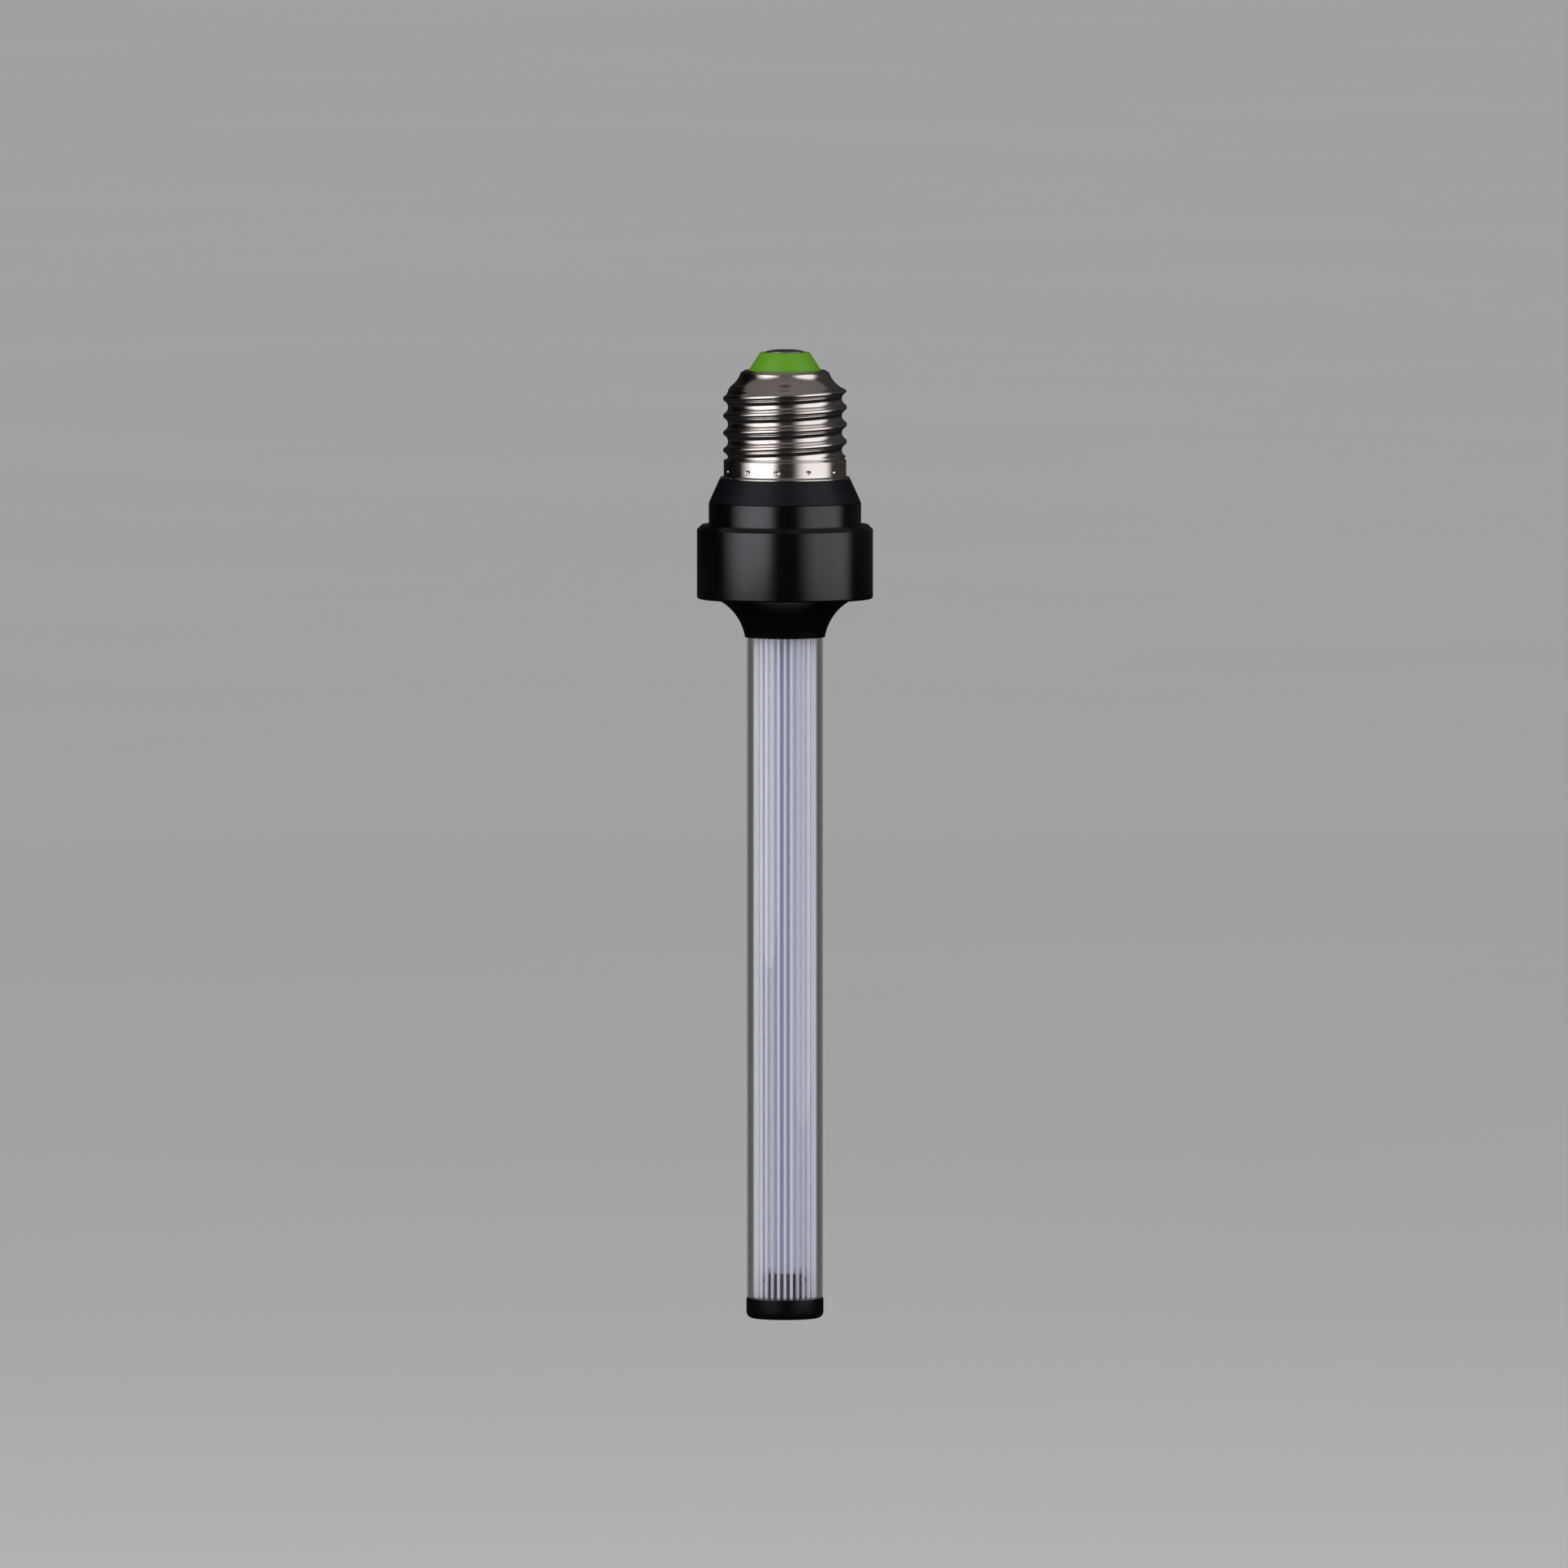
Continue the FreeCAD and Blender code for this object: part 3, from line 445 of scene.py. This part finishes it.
# %% True normals on the thread
def thread_normal(angle, depth):
    """Which way the outside of the pressed wall faces at an angle and a depth."""
    turn, swing, step = math.radians(angle), 1, 0.02
    out, along = Vector((math.cos(turn), math.sin(turn), 0)), Vector((-math.sin(turn), math.cos(turn), 0))
    round_way = (thread_rise(angle + swing, depth) - thread_rise(angle - swing, depth)) / math.radians(2 * swing)
    down_way = (thread_rise(angle, depth + step) - thread_rise(angle, depth - step)) / (2 * step)
    radius = ROOT + thread_rise(angle, depth)
    return (out - along * (round_way / radius) + Vector((0, 0, down_way))).normalized()


facings = [Vector((0, 0, 0))] * len(shell.data.vertices)
for vertex in shell.data.vertices:
    angle, depth = angle_of(vertex.co), depth_of(vertex.co)
    if FADE_IN[1] <= depth <= RUN_OUT[0] and radius_of(vertex.co) > ROOT + thread_rise(angle, depth) - 0.05:
        facings[vertex.index] = thread_normal(angle, depth)
shell.data.normals_split_custom_set_from_vertices(facings)
print("true normals:", sum(1 for facing in facings if facing.length > 0))

# %% [markdown]
# The shell is bright nickel, with the faint warm tint that nickel has beside chrome. Rolling leaves very fine lines
# round it, and handling dulls the gloss in patches.

# %% Shell finish
shell_nickel = principled("shell_nickel", (0.75, 0.705, 0.675), 0.17, Metallic=1.0)
vary_colour(shell_nickel, (0.72, 0.67, 0.635), (0.78, 0.74, 0.715), 160, (1, 1, 2.5))
vary_roughness(shell_nickel, 0.13, 0.19, 420, (1, 1, 4))
add_grain(shell_nickel, 900, 0.0016, (1, 1, 9))
finish(shell, "screw_shell", shell_nickel)

# %% [markdown]
# ## The black housing
# Below the shell shows a short cone of matt black plastic, fractionally blue next to the metal collar. Its neck runs
# up inside the shell and its liner down inside the collar. A groove a quarter of a millimetre deep round its foot
# makes the thin shadow line over the collar. The moulding has a fine spark-eroded grain.

# %% Housing finish and piece
housing_black = principled("housing_black", (0.0018, 0.0025, 0.0052), 0.42, Specular_IOR_Level=0.3,
                           Specular_Tint=(0.88, 0.94, 1.0, 1))
vary_colour(housing_black, (0.0014, 0.0020, 0.0044), (0.0023, 0.0031, 0.0061), 600)
vary_roughness(housing_black, 0.38, 0.48, 800)
add_grain(housing_black, 4200, 0.02)

housing = draw("housing_cone", [
    (6.55, 8.5), (11.65, 8.5), (11.65, 27.39), (13.85, 27.39), (16.02, 32.2), (15.75, 32.24), (15.75, 32.39),
    (14.4, 32.39), (14.4, 46.04), (13.3, 46.04), (13.3, 32.39), (10.15, 27.39), (10.15, 10.0), (6.55, 10.0),
])
spin_round(144)
break_edges(housing, 0.06)
finish(housing, "insulating_housing", housing_black)

# %% [markdown]
# ## The collar
# The collar is turned from bar and finished satin black. A narrow ring carries on the housing's line, and below a
# chamfered step comes the wide part, broad and bare, with softly broken edges. A web closes it inside, with two holes
# for the wires, which a boolean cuts. Blasting before the finish leaves an even, very fine tooth.

# %% Collar finish and piece
collar_black = principled("collar_black", (0.0009, 0.0009, 0.0013), 0.17, Specular_IOR_Level=0.72,
                          Specular_Tint=(0.94, 0.92, 1.0, 1))
vary_colour(collar_black, (0.0007, 0.0007, 0.0010), (0.0012, 0.0012, 0.0016), 520)
vary_roughness(collar_black, 0.155, 0.19, 640)
add_grain(collar_black, 5200, 0.006)

collar = draw("collar", [
    (14.5, 32.39), (16.1, 32.39), (16.1, 36.99), (17.6, 36.99), (18.6, 37.99),
    *arc((18.6, 52.14), (18.1, 52.64), -0.1464, 8),
    (12.5, 52.64), (12.5, 48.49), (0, 48.49), (0, 46.49), (14.5, 46.49),
])
spin_round(160)


# %% Drill the wire holes
def drill(piece, places, radius, depth, length):
    """Cuts round holes down the axis with a boolean."""
    for across, back in places:
        bpy.ops.object.select_all(action="DESELECT")
        bpy.ops.mesh.primitive_cylinder_add(vertices=32, radius=radius * MM, depth=length * MM,
                                            location=(across * MM, back * MM, -depth * MM))
        tool = bpy.context.active_object
        apply(piece, "BOOLEAN", operation="DIFFERENCE", object=tool, solver="EXACT")
        bpy.data.objects.remove(tool)


drill(collar, [(3.5, 1.0), (-3.5, 1.0)], radius=0.8, depth=47.5, length=4)
break_edges(collar, 0.13)
finish(collar, "heat_sink_collar", collar_black)

# %% [markdown]
# ## The flared socket
# Under the collar a trumpet closes down to the tube in one sweep, drawn as one true arc. Its finish is the collar's
# black, made darker and duller as painted shade, since it faces down under the collar. The lip that meets the glass is
# thin and rounded.

# %% Socket finish and piece
# Painted shade: the collar's black made darker and less glossy, standing in for the shade on the downward-facing
# trumpet.
socket_black = principled("socket_black", (0.0007, 0.0007, 0.0009), 0.38, Specular_IOR_Level=0.22)
vary_colour(socket_black, (0.0005, 0.0005, 0.0007), (0.0009, 0.0009, 0.0012), 520)
vary_roughness(socket_black, 0.34, 0.44, 640)
add_grain(socket_black, 4800, 0.012)

socket = draw("tube_flare", [
    (10.95, 49.69), (12.45, 49.69), (12.45, 52.64),
    *arc((14.7, 52.64), (8.47, 60.79), 1.3, 24),
    (8.05, 60.79), (8.05, 52.19), (7.3, 52.19), (7.3, 51.19), (10.95, 51.19),
])
spin_round(144)
break_edges(socket, 0.1)
finish(socket, "tube_socket", socket_black)

# %% [markdown]
# ## The clear tube
# The tube is extruded clear plastic with a 1 mm wall and polished ends. It has to be a real wall, with an inner and
# an outer side, so that it bends light twice as the real one does and its edges turn dark. A transparent shader takes
# over for shadow rays, so that the lamps light what stands inside.

# %% Clear plastic
THROUGH = 0.9


def clear_plastic(name, colour, roughness):
    """Clear plastic that lets the lamps through to what is behind it."""
    material = principled(name, colour, roughness, Transmission_Weight=1.0, IOR=1.49)
    tree = material.node_tree
    path = tree.nodes.new("ShaderNodeLightPath")
    through = tree.nodes.new("ShaderNodeBsdfTransparent")
    through.inputs["Color"].default_value = (THROUGH, THROUGH, THROUGH, 1)
    mix = tree.nodes.new("ShaderNodeMixShader")
    mix.name = "Shadow Mix"
    tree.links.new(path.outputs["Is Shadow Ray"], mix.inputs["Fac"])
    tree.links.new(tree.nodes["Principled BSDF"].outputs["BSDF"], mix.inputs[1])
    tree.links.new(through.outputs["BSDF"], mix.inputs[2])
    tree.links.new(mix.outputs["Shader"], tree.nodes["Material Output"].inputs["Surface"])
    return material


clear_tube = clear_plastic("clear_tube", (0.985, 0.985, 0.99), 0.0)
vary_colour(clear_tube, (0.98, 0.98, 0.986), (0.99, 0.99, 0.994), 60, (1, 1, 0.2))
vary_roughness(clear_tube, 0.0, 0.03, 240, (1, 1, 0.2))

# %% Tube piece
tube = draw("clear_tube", [(7.0, 52.19), (8.0, 52.19), (8.0, 200.69), (7.0, 200.69)])
spin_round(160)
break_edges(tube, 0.12)
finish(tube, "outer_tube", clear_tube)

# %% [markdown]
# ## The forked guide
# The guide is what the lamp is named for: a clear pipe whose outside is split into thirty straight ribs, so that
# each carries its own line of light. A circle of points is the start. The points that belong to ribs are scaled
# out in three steps, which gives each rib a rounded tip, and the whole ring is then extruded down the tube. A second
# ring inside makes the bore, and bridges close the two ends.

# %% Guide piece
RIBS = 30
GUIDE_ROOT, GUIDE_TIP, GUIDE_BORE = 6.1, 6.65, 5.4
GUIDE_TOP, GUIDE_END = 50.49, 200.49
RIB_STEPS = [(2.5, 6.57), (1.5, 6.63), (0.5, GUIDE_TIP)]  # half angle in degrees, radius


def off_rib(point):
    """A point's angle from the middle of the nearest rib, in degrees. One rib stands straight in front."""
    step = 360 / RIBS
    return abs((angle_of(point) + 90 + step / 2) % step - step / 2)


def widen_ribs(piece, reach, before, after):
    """Scales out the points within an angle of a rib's middle, from one radius to another."""
    pick(piece, lambda co: off_rib(co) < reach)
    bpy.ops.transform.resize(value=(after / before, after / before, 1), center_override=(0, 0, 0))


bpy.ops.object.select_all(action="DESELECT")
bpy.ops.mesh.primitive_circle_add(vertices=RIBS * 12, radius=GUIDE_ROOT * MM, location=at(0, GUIDE_TOP))
guide = bpy.context.active_object
guide.name = guide.data.name = "forked_guide"
bpy.ops.object.transform_apply(location=True, rotation=True, scale=True)
bpy.ops.object.mode_set(mode="EDIT")
bpy.ops.mesh.select_mode(type="VERT")
before = GUIDE_ROOT
for reach, radius in RIB_STEPS:
    widen_ribs(guide, reach, before, radius)
    before = radius
bpy.ops.mesh.select_all(action="SELECT")
down = at(0, GUIDE_END) - at(0, GUIDE_TOP)
bpy.ops.mesh.extrude_region_move(TRANSFORM_OT_translate={"value": down})
print("ribbed ring:", len(guide.data.vertices) * 2, "points")

# %% Bore and ends
bpy.ops.mesh.select_all(action="DESELECT")
bpy.ops.mesh.primitive_circle_add(vertices=RIBS * 12, radius=GUIDE_BORE * MM, location=at(0, GUIDE_TOP))
bpy.ops.mesh.extrude_region_move(TRANSFORM_OT_translate={"value": down})
for end in (GUIDE_TOP, GUIDE_END):
    pick(guide, lambda co: abs(depth_of(co) - end) < 0.01)
    bpy.ops.mesh.bridge_edge_loops()
bpy.ops.mesh.select_all(action="SELECT")
bpy.ops.mesh.normals_make_consistent(inside=False)
bpy.ops.object.mode_set(mode="OBJECT")
smooth(guide, 40)

# %% [markdown]
# The ribs are frosted on top and down their flanks, so that they glow along their whole length when lit. Unlit, they
# read as pale lavender lines. The floor of each groove stays clear, and one looks through it at the far side of the
# guide. One material does both. The distance from the axis decides where frost gives way to clear plastic, and slow
# noise drawn out along the tube veils some grooves more than others. The veil ends above the plug, which shows
# black through the last grooves.

# %% How far from the axis, and how far down
def from_axis(material):
    """A point's distance from the axis and its height, in metres, for a material."""
    tree = material.node_tree
    place = tree.nodes.new("ShaderNodeTexCoord")
    flat = tree.nodes.new("ShaderNodeVectorMath")
    flat.operation = "MULTIPLY"
    flat.inputs[1].default_value = (1, 1, 0)
    length = tree.nodes.new("ShaderNodeVectorMath")
    length.operation = "LENGTH"
    split = tree.nodes.new("ShaderNodeSeparateXYZ")
    tree.links.new(place.outputs["Object"], flat.inputs[0])
    tree.links.new(flat.outputs["Vector"], length.inputs[0])
    tree.links.new(place.outputs["Object"], split.inputs["Vector"])
    return length.outputs["Value"], split


def join_values(owner, operation, first, second):
    """Works out one value from two, among the nodes of a material, a lamp or the world."""
    node = owner.node_tree.nodes.new("ShaderNodeMath")
    node.operation = operation
    owner.node_tree.links.new(first, node.inputs[0])
    owner.node_tree.links.new(second, node.inputs[1])
    return node.outputs["Value"]


# %% Guide finish
FROST_START, FROST_FULL = 6.13, 6.28  # radii
VEIL_END, VEIL_FULL = 195.5, 193.5  # depths
clear_guide = clear_plastic("clear_guide", (0.75, 0.77, 0.90), 0.02)
tree = clear_guide.node_tree
frost = tree.nodes.new("ShaderNodeBsdfPrincipled")
frost.inputs["Roughness"].default_value = 0.5
frost.inputs["Transmission Weight"].default_value = 0.3
frost.inputs["IOR"].default_value = 1.49
lines = spread(clear_guide, noise(clear_guide, 620, (1, 1, 0.001), detail=1), 0, 1, 0.33, 0.56)
pale = mix_colours(clear_guide, lines, (0.47, 0.48, 0.68), (0.94, 0.945, 1.0))
tree.links.new(pale, frost.inputs["Base Color"])
away, split = from_axis(clear_guide)
flanks = spread(clear_guide, away, 0, 1, FROST_START * MM, FROST_FULL * MM)
veil = spread(clear_guide, noise(clear_guide, 430, (1, 1, 0.001), detail=1), 0.0, 0.62, 0.42, 0.6)
above_plug = spread(clear_guide, split.outputs["Z"], 0, 1, -VEIL_END * MM, -VEIL_FULL * MM)
veil = join_values(clear_guide, "MULTIPLY", veil, above_plug)
both = tree.nodes.new("ShaderNodeMixShader")
tree.links.new(join_values(clear_guide, "MAXIMUM", flanks, veil), both.inputs["Fac"])
tree.links.new(tree.nodes["Principled BSDF"].outputs["BSDF"], both.inputs[1])
tree.links.new(frost.outputs["BSDF"], both.inputs[2])
tree.links.new(both.outputs["Shader"], tree.nodes["Shadow Mix"].inputs[1])
finish(guide, "light_guide", clear_guide)

# %% [markdown]
# ## The plug and the end cap
# A black post with a disc centres the guide's lower end. It stands on the end cap, a short black cup with a well
# rounded bottom edge, which closes the tube.

# %% Plug piece
plug_black = principled("plug_black", (0.004, 0.004, 0.005), 0.4)
vary_colour(plug_black, (0.0034, 0.0034, 0.0043), (0.0047, 0.0047, 0.0058), 600)
vary_roughness(plug_black, 0.34, 0.48, 700)
add_grain(plug_black, 3600, 0.01)
plug = draw("centring_plug", [
    (0, 195.44), (1.9, 195.44), (1.9, 196.49), (5.35, 196.49), (5.35, 196.99), (1.9, 196.99), (1.9, 200.49),
    (1.1, 200.49), (1.1, 202.59), (0, 202.59),
], closed=False)
spin_round(96)
break_edges(plug, 0.08)
finish(plug, "guide_plug", plug_black)

# %% Cap finish and piece
cap_black = principled("cap_black", (0.0024, 0.0024, 0.0030), 0.19, Specular_IOR_Level=0.6,
                       Specular_Tint=(0.94, 0.92, 1.0, 1))
vary_colour(cap_black, (0.0019, 0.0019, 0.0024), (0.0029, 0.0029, 0.0036), 520)
vary_roughness(cap_black, 0.17, 0.21, 640)
add_grain(cap_black, 4800, 0.006)
cap = draw("black_end_cap", [
    (1.15, 200.49), (6.95, 200.49), (6.95, 200.69), (8.16, 200.69),
    *arc((8.16, 203.59), (6.76, 204.99), -0.41, 12),
    (0, 204.99), (0, 202.69), (1.15, 202.69),
])
spin_round(128)
break_edges(cap, 0.1)
finish(cap, "end_cap", cap_black)

# %% [markdown]
# ## What lies inside
# The driver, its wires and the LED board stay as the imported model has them, since their shapes are right and nothing
# shows them. They still get proper finishes, so that the lamp can be opened: solder mask, epoxy, varnished copper,
# ferrite, tinned wire, phosphor.

# %% Inner finishes
def inner(name, first, second, roughness, scale, grain, **sockets):
    """A finish for an inner piece, stirred in colour and gloss."""
    material = principled(name, first, roughness, **sockets)
    vary_colour(material, first, second, scale)
    vary_roughness(material, roughness * 0.85, roughness * 1.2, scale * 1.6)
    add_grain(material, scale * 4, grain)
    return material


inner_finishes = {
    "live_lead": inner("tinned_wire", (0.60, 0.60, 0.61), (0.70, 0.70, 0.71), 0.3, 500, 0.004, Metallic=1.0),
    "fusible_resistor": inner("resistor_coat", (0.18, 0.32, 0.40), (0.22, 0.37, 0.45), 0.55, 700, 0.01),
    "driver_board": inner("board_green", (0.012, 0.10, 0.035), (0.016, 0.13, 0.045), 0.35, 300, 0.006),
    "smoothing_capacitor": inner("can_metal", (0.62, 0.64, 0.68), (0.70, 0.71, 0.74), 0.3, 400, 0.003,
                                 Metallic=1.0),
    "choke_core": inner("ferrite", (0.030, 0.030, 0.033), (0.045, 0.045, 0.048), 0.6, 800, 0.012),
    "choke_winding": inner("enamelled_copper", (0.42, 0.13, 0.045), (0.52, 0.18, 0.06), 0.3, 900, 0.03,
                           Metallic=0.9),
    "bridge_rectifier": inner("chip_black", (0.016, 0.016, 0.016), (0.024, 0.024, 0.024), 0.6, 900, 0.01),
    "film_capacitor": inner("film_yellow", (0.50, 0.29, 0.02), (0.58, 0.35, 0.03), 0.35, 400, 0.005),
    "insulating_disc": inner("sheet_clear", (0.60, 0.57, 0.46), (0.66, 0.63, 0.52), 0.4, 300, 0.003),
    "thermal_pad": inner("pad_grey", (0.16, 0.18, 0.20), (0.20, 0.22, 0.25), 0.75, 700, 0.02),
    "led_board": inner("board_white", (0.72, 0.72, 0.69), (0.78, 0.78, 0.75), 0.35, 300, 0.004),
    "led_packages": inner("led_yellow", (0.75, 0.52, 0.05), (0.82, 0.60, 0.08), 0.3, 900, 0.006),
    "led_lead_positive": inner("wire_red", (0.30, 0.012, 0.008), (0.36, 0.018, 0.012), 0.4, 500, 0.005),
    "led_lead_negative": inner("wire_black", (0.016, 0.016, 0.016), (0.022, 0.022, 0.022), 0.4, 500, 0.005),
}
inner_finishes["neutral_lead"] = inner_finishes["live_lead"]
inner_finishes["driver_chip"] = inner_finishes["bridge_rectifier"]
for node, material in inner_finishes.items():
    nodes[node].data.materials.clear()
    nodes[node].data.materials.append(material)
print("inner pieces painted:", len(inner_finishes))

# %% [markdown]
# ## Floor, room and lamps
# The floor is plain, pale and so wide that it fills the picture behind the lamp, since the camera looks slightly
# down. The world lights everything evenly at about half of full daylight. Polished metal mirrors the whole room, so
# the lamp also gets a room that only reflections can see: dark walls and ground, and a roof that is grey but for a
# dark patch overhead, which the collar's sloping step mirrors.

# %% Floor
FLOOR_HEIGHT = -0.3
floor_paint = principled("floor_paint", (0.64, 0.64, 0.64), 0.9, Specular_IOR_Level=0.1)
vary_colour(floor_paint, (0.635, 0.635, 0.638), (0.645, 0.645, 0.648), 3)
bpy.ops.object.select_all(action="DESELECT")
bpy.ops.mesh.primitive_plane_add(size=160, location=(0, 0, FLOOR_HEIGHT))
floor = bpy.context.active_object
floor.name = "floor"
floor.data.materials.append(floor_paint)
print(f"floor {-FLOOR_HEIGHT:.1f} m below the contact's tip")

# %% World
world = bpy.data.worlds.new("room")
bpy.context.scene.world = world
world.use_nodes = True
LIT, SEEN = 0.55, 0.44
tree = world.node_tree
light = tree.nodes["Background"]
seen = tree.nodes.new("ShaderNodeBackground")
for backdrop, strength in ((light, LIT), (seen, SEEN)):
    backdrop.inputs["Color"].default_value = (1, 1, 1, 1)
    backdrop.inputs["Strength"].default_value = strength
path = tree.nodes.new("ShaderNodeLightPath")
looking = join_values(world, "MAXIMUM", path.outputs["Is Camera Ray"], path.outputs["Is Glossy Ray"])
looking = join_values(world, "MAXIMUM", looking, path.outputs["Is Transmission Ray"])
choose = tree.nodes.new("ShaderNodeMixShader")
tree.links.new(looking, choose.inputs["Fac"])
tree.links.new(light.outputs[0], choose.inputs[1])
tree.links.new(seen.outputs[0], choose.inputs[2])
tree.links.new(choose.outputs[0], tree.nodes["World Output"].inputs["Surface"])
print(f"world lights at {LIT}, and is seen at {SEEN}")

# %% Room that only reflections see
def room_cloth(name):
    """Dull cloth for what polished metal mirrors, dyed afterwards."""
    return principled(name, (0, 0, 0), 1.0, Specular_IOR_Level=0.0)


def hang(piece, name, cloth):
    """Hangs a piece of the room so that only reflections see it."""
    piece.name = name
    piece.data.materials.append(cloth)
    for kind in ("camera", "diffuse", "transmission", "volume_scatter", "shadow"):
        setattr(piece, f"visible_{kind}", False)


def shade_across(cloth, value, near, far, start, end):
    """Shades the cloth from one grey to another as a value runs between two limits."""
    shade = mix_colours(cloth, spread(cloth, value, 0, 1, start, end), near, far)
    tree = cloth.node_tree
    tree.links.new(shade, tree.nodes["Principled BSDF"].inputs["Base Color"])


ROOM, ROOF, GROUND = 3.2, 2.75, -0.25  # radius and heights, in metres
wall_cloth = room_cloth("wall_cloth")
across = from_axis(wall_cloth)[1].outputs["X"]
shade_across(wall_cloth, across, (0.004, 0.0036, 0.0034), (0.085, 0.078, 0.075), -2.6, 2.6)
roof_cloth = room_cloth("roof_cloth")
shade_across(roof_cloth, from_axis(roof_cloth)[0], (0.03, 0.03, 0.03), (0.37, 0.345, 0.34), 0.1, 0.5)
ground_cloth = room_cloth("ground_cloth")
shade_across(ground_cloth, from_axis(ground_cloth)[0], (0.012, 0.012, 0.012), (0.042, 0.038, 0.036), 0.5, 3)

bpy.ops.object.select_all(action="DESELECT")
bpy.ops.mesh.primitive_cylinder_add(vertices=64, radius=ROOM, depth=ROOF - GROUND, end_fill_type="NOTHING",
                                    location=(0, 0, (ROOF + GROUND) / 2))
hang(bpy.context.active_object, "room_wall", wall_cloth)
for name, height, cloth in (("room_roof", ROOF, roof_cloth), ("room_ground", GROUND, ground_cloth)):
    bpy.ops.mesh.primitive_circle_add(vertices=64, radius=ROOM, fill_type="NGON", location=(0, 0, height))
    hang(bpy.context.active_object, name, cloth)
print(f"room {2 * ROOM:.1f} m across")

# %% [markdown]
# Two tall soft boxes in front of the lamp do the modelling, one 51.5 degrees to the left of the camera and one 57.5
# to the right. Polished black shows a box's outline, and one lit evenly would give a flat bright stripe with hard
# sides. So each box fades towards its edges, and its stripe on the collar swells and dies away.

# %% Soft boxes
BOX_DISTANCE = 1.2


def fade_edges(lamp, fades):
    """Lets a soft box fade towards its left, right and upper edge, over shares of its width or height."""
    tree = lamp.node_tree
    place = tree.nodes.new("ShaderNodeNewGeometry")
    split = tree.nodes.new("ShaderNodeSeparateXYZ")
    tree.links.new(place.outputs["Parametric"], split.inputs["Vector"])
    level = None
    for way, edge, full in (("X", 0, fades[0]), ("X", 1, 1 - fades[1]), ("Y", 1, 1 - fades[2])):
        rise = tree.nodes.new("ShaderNodeMapRange")
        rise.interpolation_type = "SMOOTHSTEP"
        rise.inputs["From Min"].default_value = edge
        rise.inputs["From Max"].default_value = full
        tree.links.new(split.outputs[way], rise.inputs["Value"])
        share = rise.outputs["Result"]
        level = share if level is None else join_values(lamp, "MULTIPLY", level, share)
    tree.links.new(level, tree.nodes["Emission"].inputs["Strength"])


def soft_box(name, azimuth, bottom, top, width, radiance, fades):
    """An upright soft box at an angle from the camera's side, in degrees to the right."""
    turn = math.radians(azimuth)
    place = (math.sin(turn) * BOX_DISTANCE, -math.cos(turn) * BOX_DISTANCE, (bottom + top) / 2)
    bpy.ops.object.light_add(type="AREA", location=place, rotation=(math.pi / 2, 0, turn))
    box = bpy.context.active_object
    box.name = name
    box.data.shape = "RECTANGLE"
    box.data.size = width
    box.data.size_y = top - bottom
    box.data.energy = radiance * math.pi * width * (top - bottom)
    box.data.use_nodes = True
    fade_edges(box.data, fades)
    box.visible_camera = False
    box.visible_transmission = False
    print(f"{name}: {box.data.energy:.1f} W")


soft_box("soft_box_left", -51.5, -0.21, 1.5, 2.12, 1.85, (0.52, 0.28, 0.42))
soft_box("soft_box_right", 57.5, -0.27, 1.5, 2.28, 1.15, (0.39, 0.3, 0.25))

# %% [markdown]
# Clear plastic shows its edges because they bend the view round to the sides. A studio puts dark cards there, just
# outside the picture behind the lamp, and the tube's two walls turn into dark lines. These cards are two strips of a
# ring, and only what looks through clear plastic sees them.

# %% Edge cards
def behind(point):
    """A point's angle from straight behind the lamp, in degrees."""
    return abs(math.degrees(math.atan2(point.x, point.y)))


CARD_RING, CARD_HEIGHT, CARD_MIDDLE = 0.5, 0.35, -0.12  # metres
CARD_START, CARD_END = 12, 62  # degrees from straight behind
card_cloth = room_cloth("card_cloth")
vary_colour(card_cloth, (0.115, 0.115, 0.11), (0.145, 0.145, 0.14), 4)
bpy.ops.object.select_all(action="DESELECT")
bpy.ops.mesh.primitive_cylinder_add(vertices=180, radius=CARD_RING, depth=CARD_HEIGHT, end_fill_type="NOTHING",
                                    location=(0, 0, CARD_MIDDLE))
cards = bpy.context.active_object
bpy.ops.object.transform_apply(location=True, rotation=True, scale=True)
bpy.ops.object.mode_set(mode="EDIT")
bpy.ops.mesh.select_mode(type="VERT")
pick(cards, lambda co: not CARD_START <= behind(co) <= CARD_END)
bpy.ops.mesh.delete(type="VERT")
bpy.ops.object.mode_set(mode="OBJECT")
hang(cards, "edge_cards", card_cloth)
cards.visible_glossy = False
cards.visible_transmission = True
print(f"dark cards from {CARD_START} to {CARD_END} degrees off straight behind")

# %% [markdown]
# ## Close
# The view transform is Standard, so colours come out as they are written.

# %% Finish
bpy.context.scene.view_settings.view_transform = "Standard"
